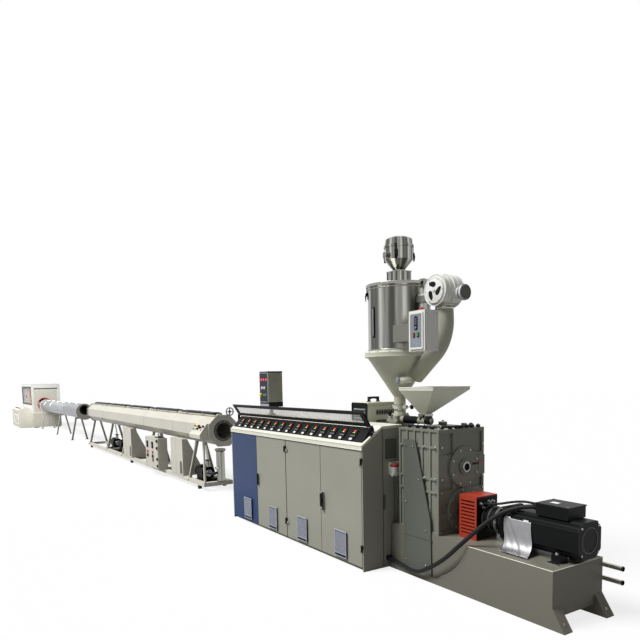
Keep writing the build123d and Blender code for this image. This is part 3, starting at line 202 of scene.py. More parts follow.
def frame_of(outer, inner, low, high, axis):
    """A frame between two outlines of as many points: four loops, two outside and two inside."""
    points = np.zeros((4, len(outer), 3))
    plane = [i for i in range(3) if i != axis]
    for loop, (outline, level) in enumerate(((outer, low), (outer, high), (inner, high), (inner, low))):
        points[loop][:, plane] = outline
        points[loop, :, axis] = level
    return points.reshape(-1, 3), grid_faces(4, len(outer), close_rows=True, close_columns=True)


def border(centre, outer, inner, low, high, axis):
    """A frame between two rectangles with round corners, each (width, height, corner)."""
    return frame_of(rounded(*outer, centre), rounded(*inner, centre), low, high, axis)


def hex_heads(places, axis, radius, height, out=1):
    """Hexagon screw heads at places, each a six sided turning with an eased crown."""
    head = turning([(0, 0), (radius, 0), (radius, out * height * 0.75),
                    (radius * 0.8, out * height), (0, out * height)], (0, 0, 0), axis, 6)
    return copies(head, places)


def circle_of(centre, axis, radius, count, start=0.0):
    """Places on a circle: centre + R (cos a e1 + sin a e2)."""
    angle = np.linspace(0, 2 * np.pi, count, endpoint=False) + math.radians(start)
    places = np.tile(np.asarray(centre, float), (count, 1))
    places[:, (axis + 1) % 3] += radius * np.cos(angle)
    places[:, (axis + 2) % 3] += radius * np.sin(angle)
    return places


def fit(name, finish, *shapes, body=MACHINE, bevel=0.0, smooth=False, replaces=()):
    """Makes one piece of the shapes: closes its seams, gives it its finish and lets it ride on its body."""
    points, faces = join(*shapes)
    mesh = bpy.data.meshes.new(name)
    mesh.from_pydata(np.asarray(points).tolist(), [], faces)
    work = bmesh.new()
    work.from_mesh(mesh)
    bmesh.ops.remove_doubles(work, verts=work.verts, dist=1e-6)
    bmesh.ops.dissolve_degenerate(work, edges=work.edges, dist=1e-7)
    bmesh.ops.recalc_face_normals(work, faces=work.faces)
    work.to_mesh(mesh)
    work.free()
    if smooth:
        mesh.polygons.foreach_set("use_smooth", [True] * len(mesh.polygons))
        mesh.set_sharp_from_angle(angle=math.radians(38))
    thing = bpy.data.objects.new(name, mesh)
    bpy.context.scene.collection.objects.link(thing)
    mesh.materials.append(finishes[finish])
    if bevel:
        ease = thing.modifiers.new("Eased edges", "BEVEL")
        ease.width, ease.segments, ease.limit_method = bevel, 2, "ANGLE"
    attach(thing, body)
    if replaces:
        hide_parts(*replaces)
    return thing


# Finishes: shader sums written as plain arithmetic


class Value:
    """One number in a shader; + - * / and powers of it add the Math nodes that work them out."""

    def __init__(self, maker, socket):
        self.maker, self.socket = maker, socket

    def sum(self, operation, first, second, clamp=False):
        node = self.maker.node("ShaderNodeMath", {"operation": operation, "use_clamp": clamp},
                               {0: first, 1: second})
        return Value(self.maker, node.outputs[0])

    def __add__(self, other):
        return self.sum("ADD", self, other)

    __radd__ = __add__

    def __sub__(self, other):
        return self.sum("SUBTRACT", self, other)

    def __rsub__(self, other):
        return self.sum("SUBTRACT", other, self)

    def __mul__(self, other):
        return self.sum("MULTIPLY", self, other)

    __rmul__ = __mul__

    def __truediv__(self, other):
        return self.sum("DIVIDE", self, other)

    def __pow__(self, other):
        return self.sum("POWER", self, other)

    def within(self):
        """The value held between 0 and 1."""
        return self.sum("ADD", self, 0.0, clamp=True)


class Finish:
    """A material under way: its nodes and the few patterns that the finishes share."""

    def __init__(self, name, **constants):
        self.material = bpy.data.materials.new(name)
        self.material.use_nodes = True
        self.tree = self.material.node_tree
        self.shader = self.tree.nodes["Principled BSDF"]
        for socket, value in constants.items():
            self.shader.inputs[socket.replace("_", " ")].default_value = value
        self.place = self.node("ShaderNodeTexCoord").outputs["Object"]

    def node(self, kind, settings=None, inputs=None):
        """A node of a kind, its settings made first, then the values or links of its sockets."""
        node = self.tree.nodes.new(kind)
        for setting, value in (settings or {}).items():
            setattr(node, setting, value)
        for key, value in (inputs or {}).items():
            self.feed(node.inputs[key], value)
        return node

    def feed(self, socket, value):
        if isinstance(value, Value):
            value = value.socket
        if isinstance(value, bpy.types.NodeSocket):
            self.tree.links.new(value, socket)
        elif hasattr(value, "__len__") and len(value) == 3 and socket.type == "RGBA":
            socket.default_value = (*value, 1.0)
        else:
            socket.default_value = value

    def noise(self, scale, detail=3.0, stretch=(1, 1, 1)):
        """Cloudy noise of the place, its grain so many to the metre, drawn out along an axis if asked."""
        at = self.place
        if stretch != (1, 1, 1):
            at = self.node("ShaderNodeMapping", {}, {"Vector": at, "Scale": stretch}).outputs[0]
        noise = self.node("ShaderNodeTexNoise", {}, {"Vector": at, "Scale": scale, "Detail": detail})
        return Value(self, noise.outputs[0])

    def parts(self):
        """The place as three numbers, x, y and z."""
        split = self.node("ShaderNodeSeparateXYZ", {}, {0: self.place})
        return [Value(self, out) for out in split.outputs]

    def blend(self, factor, one, two):
        """A colour between two: one + factor (two - one)."""
        mix = self.node("ShaderNodeMix", {"data_type": "RGBA"}, {0: factor, 6: one, 7: two})
        return mix.outputs[2]

    def colour(self, value):
        self.feed(self.shader.inputs["Base Color"], value)

    def roughness(self, value):
        self.feed(self.shader.inputs["Roughness"], value)

    def bump(self, height, strength=0.2, distance=0.001):
        bump = self.node("ShaderNodeBump", {}, {"Strength": strength, "Distance": distance,
                                                "Height": height})
        self.feed(self.shader.inputs["Normal"], bump.outputs[0])


def scaled(colour, by):
    return tuple(min(1.0, c * by) for c in colour)


def sheet_paint(name, colour, gloss=0.42, dust=0.25, orange=0.12):
    """Sprayed sheet: faint clouding, orange peel, and workshop dust that thickens towards the floor."""
    make = Finish(name, Specular_IOR_Level=0.22)
    cloud = make.noise(1.7, 4.0)
    speck = make.noise(38.0, 2.0)
    height = make.parts()[2]
    low = ((1.0 - height / 0.45).within()) * (0.35 + cloud * 0.9)
    base = make.blend((cloud * 1.5 - 0.25).within(), scaled(colour, 0.9), scaled(colour, 1.07))
    dusty = make.blend((low * dust + (speck - 0.62).within() * 0.35).within(), base,
                       scaled(colour, 0.55))
    make.colour(dusty)
    make.roughness((gloss + (cloud - 0.5) * 0.16 + low * 0.2).within())
    make.bump(make.noise(420.0, 1.0), orange, 0.0006)
    return make.material


def two_tone(name, below, above, level, axis=2, gloss=0.42):
    """Sprayed sheet in two colours that meet at a level: the share of the upper one is (place - level) 400."""
    make = Finish(name, Specular_IOR_Level=0.22)
    cloud, place = make.noise(2.2, 4.0), make.parts()[axis]
    upper = ((place - level) * 400.0).within()
    shade = make.blend((cloud * 1.5 - 0.25).within(), scaled(below, 0.9), scaled(below, 1.07))
    make.colour(make.blend(upper, shade, above))
    make.roughness((gloss + (cloud - 0.5) * 0.16).within())
    make.bump(make.noise(420.0, 1.0), 0.12, 0.0006)
    return make.material


def cast_paint(name, colour):
    """Painted casting: grainy skin under thick paint with oily dark patches."""
    make = Finish(name, Specular_IOR_Level=0.3)
    cloud, grain = make.noise(3.2, 5.0), make.noise(160.0, 3.0)
    make.colour(make.blend((cloud * 1.7 - 0.35).within(), scaled(colour, 0.78), scaled(colour, 1.12)))
    make.roughness((0.42 + (cloud - 0.5) * 0.3).within())
    make.bump(grain + cloud * 0.6, 0.35, 0.0015)
    return make.material


def sheet_steel(name, colour, streak=(1, 1, 1), rough=0.28, scale=60.0):
    """Brushed steel: long fine scratches drawn out along one axis and soft hand marks."""
    make = Finish(name, Metallic=1.0)
    lines, cloud = make.noise(scale, 2.0, streak), make.noise(2.6, 3.0)
    make.colour(make.blend((lines * 0.8 + cloud * 0.6 - 0.2).within(), scaled(colour, 0.72), colour))
    make.roughness((rough + (lines - 0.5) * 0.2 + (cloud - 0.5) * 0.12).within())
    make.bump(lines, 0.12, 0.0004)
    return make.material


def drum_painted_reflections(name, colour, axis_x, bands=9.0):
    """Drum with painted reflections: soft upright dark and light bands round the axis, put into the colour,
    paint the surroundings mirrored in the polished sheet, over fine brushing.

    The angle round the axis is atan2(y, x - axis), and the bands are sines of two multiples of it."""
    make = Finish(name, Metallic=1.0)
    x, y, z = make.parts()
    angle = Value(make, make.node("ShaderNodeMath", {"operation": "ARCTAN2"},
                                  {0: y, 1: x - axis_x}).outputs[0])
    reflection_wave = Value(make, make.node("ShaderNodeMath", {"operation": "SINE"},
                                 {0: angle * bands + z * 0.25}).outputs[0])
    second = Value(make, make.node("ShaderNodeMath", {"operation": "SINE"},
                                   {0: angle * (bands * 2.6) + 1.3}).outputs[0])
    lines = make.noise(55.0, 2.0, (1, 1, 0.04))
    # painted reflection: these dark and light bands stand for the surroundings mirrored in the drum, not for
    # colour of the steel
    reflection_mask = (0.5 + reflection_wave * 0.34 + second * 0.16 + (lines - 0.5) * 0.5).within()
    make.colour(make.blend(reflection_mask ** 2.0, scaled(colour, 0.12), scaled(colour, 0.88)))
    make.roughness((0.22 + (lines - 0.5) * 0.18).within())
    make.bump(lines, 0.08, 0.0003)
    return make.material


def moulding(name, colour, gloss=0.5, grain=260.0, texture=0.2, shine=0.5):
    """Moulded plastic or rubber: fine spark texture, slight wear gloss."""
    make = Finish(name, Specular_IOR_Level=shine)
    fine, cloud = make.noise(grain, 2.0), make.noise(6.0, 3.0)
    make.colour(make.blend((cloud * 1.4 - 0.2).within(), scaled(colour, 0.85), scaled(colour, 1.18)))
    make.roughness((gloss + (fine - 0.5) * 0.18 + (cloud - 0.5) * 0.14).within())
    make.bump(fine, texture, 0.0005)
    return make.material


def clear_sheet(name, tint, alpha=0.32):
    """Clear plastic sheet with faint smears: the smear makes it milkier and rougher."""
    make = Finish(name, IOR=1.49)
    smear = make.noise(4.0, 4.0, (0.4, 1.5, 1.5))
    make.colour(make.blend(smear, scaled(tint, 0.92), tint))
    make.roughness((0.05 + smear * 0.18).within())
    make.feed(make.shader.inputs["Alpha"], (alpha + (smear - 0.5) * 0.3).within())
    return make.material


def lamp(name, colour, strength=0.6):
    """A small lit lens or display: it glows evenly, with a fine segment texture in the glow."""
    make = Finish(name, Roughness=0.3, Emission_Strength=strength)
    cells = make.noise(700.0, 1.0)
    glow = make.blend(cells, scaled(colour, 0.7), scaled(colour, 1.2))
    make.colour(glow)
    make.feed(make.shader.inputs["Emission Color"], glow)
    return make.material


def paint(name, description, *display):
    """A colour property, its default written in display values."""
    return FloatVectorProperty(name=name, description=description, subtype="COLOR", default=tone(*display),
                               min=0, max=1)


class LineColours(bpy.types.PropertyGroup):
    """Colours of the line's finishes."""

    sheet: paint("Sheet metal", "Light paint of the console and hood", 150, 150, 137)
    base: paint("Base", "Paint of the machine base", 114, 112, 101)
    casting: paint("Casting", "Paint of the gearbox casing", 122, 124, 113)
    blue: paint("Blue panel", "Paint of the blue console panel", 34, 56, 96)
    red: paint("Fan housing", "Paint of the fan housing", 158, 54, 36)
    tank: paint("Tank", "Paint of the tanks and the haul-off", 204, 201, 188)


class LineSizes(bpy.types.PropertyGroup):
    """Sizes of the fittings that the scene adds."""

    instruments: IntProperty(name="Instruments", description="Controllers along the console",
                             default=15, min=1, max=40)
    slat_gap: FloatProperty(name="Slat gap", description="Spacing of the vent slats",
                            default=0.0085, min=0.004, max=0.03, unit="LENGTH")
    key: FloatProperty(name="Desk button", description="Width of a push button on the tank's desk",
                       default=0.03, min=0.01, max=0.036, unit="LENGTH")
    flood: FloatProperty(name="Ambient light", description="Strength of the even light", default=0.16,
                         min=0.0, max=1.0)
    sun: FloatProperty(name="Key light", description="Strength of the soft sun", default=4.1,
                       min=0.0, max=10.0)


finishes = {}


def finish_all(colours):
    """Makes each finish once, by the name that the pieces ask for."""
    finishes.update(
        sheet=sheet_paint("Warm grey sheet paint", tuple(colours.sheet)),
        lip=sheet_paint("Pale top paint", tone(222, 222, 208), dust=0.1),
        base=sheet_paint("Base paint", tuple(colours.base), dust=0.4),
        casting=cast_paint("Casting paint", tuple(colours.casting)),
        plate=sheet_paint("Dark guard paint", tone(92, 95, 88), dust=0.4),
        dark=moulding("Black enamel", tone(15, 16, 17), 0.42, 90.0, 0.12, 0.08),
        blue=sheet_paint("Blue sheet paint", tuple(colours.blue), dust=0.2),
        red=sheet_paint("Red housing paint", tuple(colours.red), dust=0.15),
        tank=sheet_paint("Cream tank paint", tuple(colours.tank), 0.38, 0.3),
        rail=sheet_paint("Cream frame paint", tone(216, 213, 199), 0.38, 0.3),
        white=sheet_paint("White housing paint", tone(224, 224, 218), 0.4, 0.15),
        blower=two_tone("Blower paint", tone(170, 170, 155), tone(226, 226, 220), 2.186),
        bracketed=two_tone("Control box paint", tone(120, 120, 112), tone(224, 224, 218), 0.049, 0),
        cone=sheet_paint("Cone paint", tone(198, 198, 180), 0.36, 0.1),
        crate=two_tone("Box paint", tone(226, 228, 209), tone(20, 20, 21), 1.3856),
        hopper=sheet_paint("Hopper paint", tone(232, 232, 214), dust=0.1),
        stands=sheet_paint("Stand paint", tone(170, 168, 156), dust=0.4),
        # the dryer drum and loader carry painted reflections: dark and light upright bands in their colour
        drum=drum_painted_reflections("Drum with painted reflections", tone(205, 205, 198), -0.45),
        steel=sheet_steel("Brushed steel", tone(166, 166, 158), (1, 1, 0.05)),
        bar=sheet_steel("Drawn steel bar", tone(206, 204, 196), (0.05, 1, 1), 0.22),
        barrel=sheet_steel("Heat stained steel", tone(110, 104, 96), (0.2, 1, 1), 0.4, 20.0),
        spray=sheet_steel("Satin tank skin", tone(162, 164, 168), (0.03, 1, 1), 0.4, 18.0),
        screw=sheet_steel("Zinc screws", tone(150, 150, 146), (1, 1, 1), 0.35, 120.0),
        black=moulding("Black plastic", tone(19, 19, 21), shine=0.1),
        rubber=moulding("Black rubber", tone(20, 20, 21), 0.55, 420.0, 0.3, 0.2),
        grey=moulding("Grey key plate", tone(128, 134, 140), 0.45),
        slat=sheet_paint("Vent slat paint", tone(166, 170, 182), dust=0.2),
        ivory=moulding("White plastic", tone(232, 232, 228), 0.35, 300.0, 0.1),
        ruby=moulding("Red plastic", tone(166, 38, 36), 0.32, 300.0, 0.1),
        yolk=moulding("Yellow plastic", tone(232, 196, 40), 0.35, 300.0, 0.1),
        leaf=moulding("Green plastic", tone(40, 150, 90), 0.35, 300.0, 0.1),
        navy=moulding("Navy enamel", tone(20, 26, 44), 0.45, 300.0, 0.15, 0.25),
        amber=moulding("Orange belt", tone(226, 160, 74), 0.5, 200.0, 0.3),
        clear=clear_sheet("Clear cover sheet", tone(226, 222, 214), 0.34),
        window=clear_sheet("Window sheet", tone(196, 206, 220), 0.18),
        foil=sheet_steel("Crumpled foil film", tone(168, 168, 170), (1, 1, 1), 0.42, 14.0),
        glow_red=lamp("Red display", tone(255, 60, 60), 0.9),
        glow_yellow=lamp("Yellow display", tone(250, 220, 60), 0.7),
        glow_green=lamp("Green lamp", tone(60, 220, 130), 0.6),
    )


NODES_OF_FINISH = {
    "base": "machine_base barrel_stands",
    "bar": "water_pipes",
    "casting": "gearbox",
    "plate": "side_panel",
    "red": "fan_housing",
    "dark": "coupling motor_body tank_pumps",
    "barrel": "barrel die_head",
    "sheet": "barrel_hood doser console_shell console_posts left_door middle_door right_door pendant_arm "
        "pendant_box",
    "hopper": "doser_hopper",
    "cone": "dryer_cone",
    "drum": "dryer_drum loader",
    "steel": "dryer_lid",
    "blower": "air_blower",
    "bracketed": "dryer_control_box",
    "crate": "equipment_box",
    "lip": "console_top",
    "blue": "blue_panel",
    "black": "door_hinges instrument_panel",
    "ivory": "wall_sockets",
    "tank": "tank_shell tank_ends water_boxes tank_control_box spray_ends haul_off_base tank_lid_1 "
        "tank_lid_2 tank_lid_3 tank_lid_4 tank_lid_5",
    "slat": "hand_wheel",
    "rail": "tank_top_bars tank_frame operator_desk haul_off_desk",
    "stands": "tank_legs spray_stands",
    "rubber": "tank_wheels belt_tracks motor_cables",
    "spray": "spray_shell",
    "white": "haul_off_housing haul_off_ends",
    "ruby": "entry_ring",
}
NODE_FINISH = {node: finish for finish, nodes in NODES_OF_FINISH.items() for node in nodes.split()}


class LINE_OT_finishes(bpy.types.Operator):
    """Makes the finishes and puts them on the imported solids"""

    bl_idname = "pipeline.finishes"
    bl_label = "Finishes"

    def execute(self, context):
        finish_all(context.scene.line_colours)
        for name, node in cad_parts.items():
            if name in NODE_FINISH:
                node.data.materials.clear()
                node.data.materials.append(finishes[NODE_FINISH[name]])
        return {"FINISHED"}


class LINE_OT_stage(bpy.types.Operator):
    """Camera at the photograph's place, pale floor, soft sun and even light"""

    bl_idname = "pipeline.stage"
    bl_label = "Stage"

    def execute(self, context):
        scene, sizes = context.scene, context.scene.line_sizes
        view = bpy.data.cameras.new("Camera")
        view.lens, view.sensor_width, view.shift_y, view.clip_end = 33.38, 36.0, 0.183, 200.0
        scene.camera = self.linked(view, (3.6, -3.45, 1.6), CAMERA_TURN)
        sun = bpy.data.lights.new("Sun", "SUN")
        sun.energy, sun.angle = sizes.sun, math.radians(24)
        self.linked(sun, turn=(math.radians(36), 0.0, math.radians(-22)))
        fill = bpy.data.lights.new("Far fill", "AREA")
        fill.energy, fill.size = 175.0, 2.0
        self.linked(fill, (-17.4, -1.9, 2.4), (0.0, math.radians(73), math.radians(-28)))
        world = scene.world or bpy.data.worlds.new("World")
        scene.world = world
        world.use_nodes = True
        tree = world.node_tree
        tree.nodes.clear()
        out = tree.nodes.new("ShaderNodeOutputWorld")
        seen, flood, mix = (tree.nodes.new(f"ShaderNode{kind}")
                            for kind in ("Background", "Background", "MixShader"))
        flood.inputs[1].default_value = sizes.flood
        flood.inputs[0].default_value = seen.inputs[0].default_value = (1, 1, 1, 1)
        tree.links.new(self.seen_ray(tree), mix.inputs[0])
        tree.links.new(flood.outputs[0], mix.inputs[1])
        tree.links.new(seen.outputs[0], mix.inputs[2])
        tree.links.new(mix.outputs[0], out.inputs[0])
        self.lay_floor()
        scene.view_settings.view_transform = "Standard"
        return {"FINISHED"}

    @staticmethod
    def linked(data, place=(0, 0, 0), turn=(0, 0, 0)):
        """An object of the data's own name, linked to the scene at its place and turn."""
        thing = bpy.data.objects.new(data.name, data)
        bpy.context.scene.collection.objects.link(thing)
        thing.location, thing.rotation_euler = place, turn
        return thing

    @staticmethod
    def seen_ray(tree):
        """1 for camera, glossy and transmission rays: max of the three."""
        path = tree.nodes.new("ShaderNodeLightPath")
        first, second = tree.nodes.new("ShaderNodeMath"), tree.nodes.new("ShaderNodeMath")
        first.operation = second.operation = "MAXIMUM"
        tree.links.new(path.outputs["Is Camera Ray"], first.inputs[0])
        tree.links.new(path.outputs["Is Glossy Ray"], first.inputs[1])
        tree.links.new(first.outputs[0], second.inputs[0])
        tree.links.new(path.outputs["Is Transmission Ray"], second.inputs[1])
        return second.outputs[0]

    def lay_floor(self):
        """A wide floor, white where it is seen, and dim where it only throws light back on the line."""
        mesh = bpy.data.meshes.new("Floor")
        mesh.from_pydata([(-90, -60, 0), (60, -60, 0), (60, 60, 0), (-90, 60, 0)], [], [(0, 1, 2, 3)])
        floor = self.linked(mesh)
        pale = bpy.data.materials.new("Pale floor")
        pale.use_nodes = True
        tree = pale.node_tree
        dim, matt = tree.nodes["Principled BSDF"], tree.nodes.new("ShaderNodeBsdfDiffuse")
        dim.inputs["Base Color"].default_value = (0.3, 0.3, 0.3, 1)
        dim.inputs["Roughness"].default_value = 0.9
        dim.inputs["Specular IOR Level"].default_value = 0.0
        matt.inputs["Color"].default_value = (0.8, 0.8, 0.8, 1)
        glow, white = tree.nodes.new("ShaderNodeEmission"), tree.nodes.new("ShaderNodeMixShader")
        white.inputs[0].default_value = 0.8
        tree.links.new(matt.outputs[0], white.inputs[1])
        tree.links.new(glow.outputs[0], white.inputs[2])
        mix = tree.nodes.new("ShaderNodeMixShader")
        tree.links.new(self.seen_ray(tree), mix.inputs[0])
        tree.links.new(dim.outputs[0], mix.inputs[1])
        tree.links.new(white.outputs[0], mix.inputs[2])
        tree.links.new(mix.outputs[0], tree.nodes["Material Output"].inputs[0])
        mesh.materials.append(pale)


# Pieces


def laid(shape, origin, across, up):
    """The shape laid on a sloping face: P' = origin + x across + y up + z (across x up)."""
    points, faces = shape
    across, up = np.asarray(across, float), np.asarray(up, float)
    return np.asarray(origin) + points @ np.stack([across, up, np.cross(across, up)]), faces


def button(centre, axis, radius, low, high):
    """A push button: a domed turning, its crown a cosine fall from the middle to the edge."""
    u = np.linspace(0, np.pi / 2, 6)
    crown = [(radius * math.sin(a), high - (high - low) * 0.35 * (1 - math.cos(a))) for a in u[::-1]]
    return turning([(0, low), (radius, low)] + crown, centre, axis, 24)


CONSOLE_X0, CONSOLE_X1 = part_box("console_shell")[0][0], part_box("console_shell")[1][0]
VENTS = ((-2.411, MACHINE), (-1.822, "left_door_body"), (-1.231, "middle_door_body"),
         (-0.58, "right_door_body"))

# Places that several fittings share, in metres, as the solids have them
PIPE_Z, MOTOR_Z, SPRAY_Z = 0.9, 0.542, 0.85
COVER_FACE, LOWER_COVER_Z = 0.326, 0.56
LIP_FRONT, HINGE_Y, HINGE_R = -0.5735, -0.573, 0.0082
PULL_X, LATCH_X, VENT_Z = -2.146, -0.852, 0.1725
PENDANT_X, PENDANT_Z = -2.49, 1.5275
COVER_HINGE_Y, COVER_HINGE_Z = -0.463, 1.209
BED_TOP, BED_FRONT, WATER_Y = 0.3785, -0.2925, 0.2573
FEEDER_Y, FEEDER_Z, FEEDER_R = -0.03, 1.244, 0.0318
ELBOW_Z, OUTLET_Z, ROCKER_Z = 1.583, 2.26, 1.928
CONTROL_X, CONTROL_Z = 0.14, 1.96
WHEEL_Z, LEFT_SWITCHES, RIGHT_SWITCHES = 1.172, -6.965, -6.68
POT_X, POT_Y, DIAL_X = -4.64, 0.06, -22.6

HINGE_AXES = ((-1.55, "left_door_body"), (-1.53, "middle_door_body"), (-0.276, "right_door_body"))


class LINE_OT_cables(bpy.types.Operator):
    """The two motor cables, each one smooth line from the terminal box"""

    bl_idname = "pipeline.cables"
    bl_label = "Motor cables"

    def execute(self, context):
        thick = self.cable("motor_cable_thick", 0.016,
            [(1.0597, -0.05, 0.706), (0.955, -0.05, 0.706), (0.79, -0.178, 0.632), (0.602, -0.334, 0.393),
            (0.441, -0.334, 0.243), (0.27, -0.334, 0.128), (0.11, -0.334, 0.046), (-0.15, -0.304, 0.08),
            (-0.2597, -0.304, 0.08)])
        thin = self.cable("motor_cable_thin", 0.009,
            [(1.0597, 0.03, 0.706), (0.975, 0.03, 0.706), (0.85, 0.01, 0.712), (0.65, -0.06, 0.655),
            (0.5753, -0.06, 0.655)])
        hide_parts("motor_cables")
        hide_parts("motor_cables")
        fit("cable_glands", "black", rod((0, -0.05, 0.706), 0, 0.026, 1.03, 1.0598, 6),
            rod((0, -0.05, 0.706), 0, 0.021, 1.016, 1.032),
            rod((0, 0.03, 0.706), 0, 0.017, 1.036, 1.0598, 6),
            rod((0, -0.06, 0.655), 0, 0.017, 0.5752, 0.6, 6),
            rod((0, -0.304, 0.08), 0, 0.027, -0.2599, -0.23, 6), smooth=True)
        return {"FINISHED"}

    @staticmethod
    def cable(name, radius, route):
        """A round cable along a quadratic NURBS line through its route of control points."""
        curve = bpy.data.curves.new(name, "CURVE")
        curve.dimensions = "3D"
        spline = curve.splines.new("NURBS")
        spline.points.add(len(route) - 1)
        for point, place in zip(spline.points, route):
            point.co = (*place, 1.0)
        spline.order_u, spline.use_endpoint_u, spline.resolution_u = 3, True, 12
        curve.bevel_depth, curve.bevel_resolution = radius, 4
        curve.materials.append(finishes["rubber"])
        cable = bpy.data.objects.new(name, curve)
        bpy.context.scene.collection.objects.link(cable)
        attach(cable, MACHINE)
        return cable


class LINE_OT_vents(bpy.types.Operator):
    """Louvred vents low on the console panels, each with its hood and slats, and dark plates that paint the
    shade inside the intake and on the vent's side
    """

    bl_idname = "pipeline.vents"
    bl_label = "Vents"

    def execute(self, context):
        gap = context.scene.line_sizes.slat_gap
        front = -0.579
        for number, (x, body) in enumerate(VENTS, 1):
            outer, inner = (rounded(0.18, 0.235, 0.004, (x, VENT_Z)),
                rounded(0.164, 0.219, 0.003, (x, VENT_Z)))
            fit(f"vent_frame_{number}", "slat", frame_of(outer, inner, front, front - 0.0015, 1),
                block((x - 0.09, front - 0.0015, 0.2895), (x + 0.09, front + 0.0038, 0.2935)),
                prism(outer, front, front + 0.0038, 1),
                block((x - 0.082, front - 0.0014, 0.084), (x + 0.082, front, 0.09)), body=body,
                bevel=0.0008)
            levels = np.arange(0.094, 0.281 - gap * 0.5, gap)
            fit(f"vent_slats_{number}", "slat",
                copies(prism([(front, 0.0), (front - 0.0014, -0.0028), (front - 0.0014, -0.001),
                (front, 0.003)], x - 0.082, x + 0.082, 0), np.stack([levels * 0, levels * 0, levels], -1)),
                body=body)
            # painted shade: the dark back behind the slats stands for the shade inside the vent and its intake
            # below, and the dark strip on the right stands for the shaded side of the vent's depth
            fit(f"vent_shade_{number}", "dark",
                block((x - 0.082, front - 0.0006, 0.064), (x + 0.082, front, 0.281)),
                block((x + 0.0902, front - 0.001, 0.056), (x + 0.0922, -0.5752, 0.289)), body=body)
        return {"FINISHED"}


class LINE_OT_doors(bpy.types.Operator):
    """Pull, latch, lock and hinge sleeves of the console doors"""

    bl_idname = "pipeline.doors"
    bl_label = "Door fittings"

    def execute(self, context):
        fit("left_door_pull", "black", slab((PULL_X, 0.54), (0.026, 0.128, 0.006), -0.5752, -0.578, 1),
            border((PULL_X, 0.54), (0.026, 0.128, 0.006), (0.016, 0.114, 0.004), -0.578, -0.583, 1),
            body="left_door_body", bevel=0.0008)
        fit("right_door_latch", "black", slab((LATCH_X, 0.51), (0.03, 0.168, 0.006), -0.5812, -0.584, 1),
            rod((LATCH_X, 0, 0.515), 1, 0.011, -0.596, -0.583),
            slab((LATCH_X, 0.522), (0.016, 0.12, 0.007), -0.604, -0.594, 1), body="right_door_body",
            bevel=0.001)
        fit("right_door_lock", "screw", rod((LATCH_X, 0, 0.446), 1, 0.011, -0.5915, -0.5835),
            rod((LATCH_X, 0, 0.588), 1, 0.007, -0.592, -0.583), body="right_door_body", smooth=True)
        for x, body in HINGE_AXES:
            side = body.split("_")[0]
            fit(f"{side}_hinge_caps_low", "black",
                *[rod((x, HINGE_Y, 0), 2, HINGE_R, z - 0.0015, z + 0.0262, 20) for z in (0.17, 0.9)],
                body=body, smooth=True)
            fit(f"{side}_hinge_caps_high", "black",
                *[rod((x, HINGE_Y, 0), 2, HINGE_R, z + 0.0264, z + 0.0541, 20) for z in (0.17, 0.9)],
                smooth=True)
        return {"FINISHED"}


class LINE_OT_console_end(bpy.types.Operator):
    """Drive end of the console: socket lids, dark recess, seam, slot and the pale front lip roll"""

    bl_idname = "pipeline.console_end"
    bl_label = "Console end"

    def execute(self, context):
        lids, cups = [], []
        for y in (-0.262, -0.186):
            lids.append(rod((CONSOLE_X1 + 0.032, y, 0), 2, 0.034, 0.862, 0.888, 32, 0.3))
            lids.append(block((CONSOLE_X1 + 0.001, y - 0.012, 0.868),
                (CONSOLE_X1 + 0.02, y + 0.012, 0.898)))
            cups.append(turning([(0, 0.796), (0.024, 0.798), (0.031, 0.838), (0.033, 0.862), (0, 0.862)],
                (CONSOLE_X1 + 0.034, y, 0), 2, 32))
        fit("socket_lids", "ruby", *lids, smooth=True)
        fit("socket_cups", "ivory", *cups, smooth=True)
        fit("console_end_seams", "dark",
            block((CONSOLE_X1, -0.356, 0.012), (CONSOLE_X1 + 0.0016, -0.352, 1.19)),
            block((CONSOLE_X1, -0.236, 0.012), (CONSOLE_X1 + 0.0016, -0.232, 0.78)))
        fit("console_end_plates", "plate",
            slab((-0.268, 1.015), (0.13, 0.17, 0.008), CONSOLE_X1, CONSOLE_X1 + 0.003, 0),
            slab((-0.343, 0.565), (0.02, 0.13, 0.006), CONSOLE_X1, CONSOLE_X1 + 0.006, 0), bevel=0.0008)
        fit("console_end_frame", "sheet",
            border((-0.268, 1.015), (0.15, 0.19, 0.012), (0.13, 0.17, 0.008), CONSOLE_X1,
            CONSOLE_X1 + 0.006, 0), bevel=0.0008)
        fit("console_lip_roll", "lip",
            tube([(CONSOLE_X0, LIP_FRONT, 1.0565), (CONSOLE_X1, LIP_FRONT, 1.0565)], 0.003, 12),
            tube([(CONSOLE_X0, LIP_FRONT, 1.0205), (CONSOLE_X1, LIP_FRONT, 1.0205)], 0.002, 12),
            smooth=True)
        return {"FINISHED"}


FACE_ORIGIN = np.array([CONSOLE_X0 + 0.03, -0.543, 1.085])
FACE_UP = np.array([0.0, 0.632, 0.775])


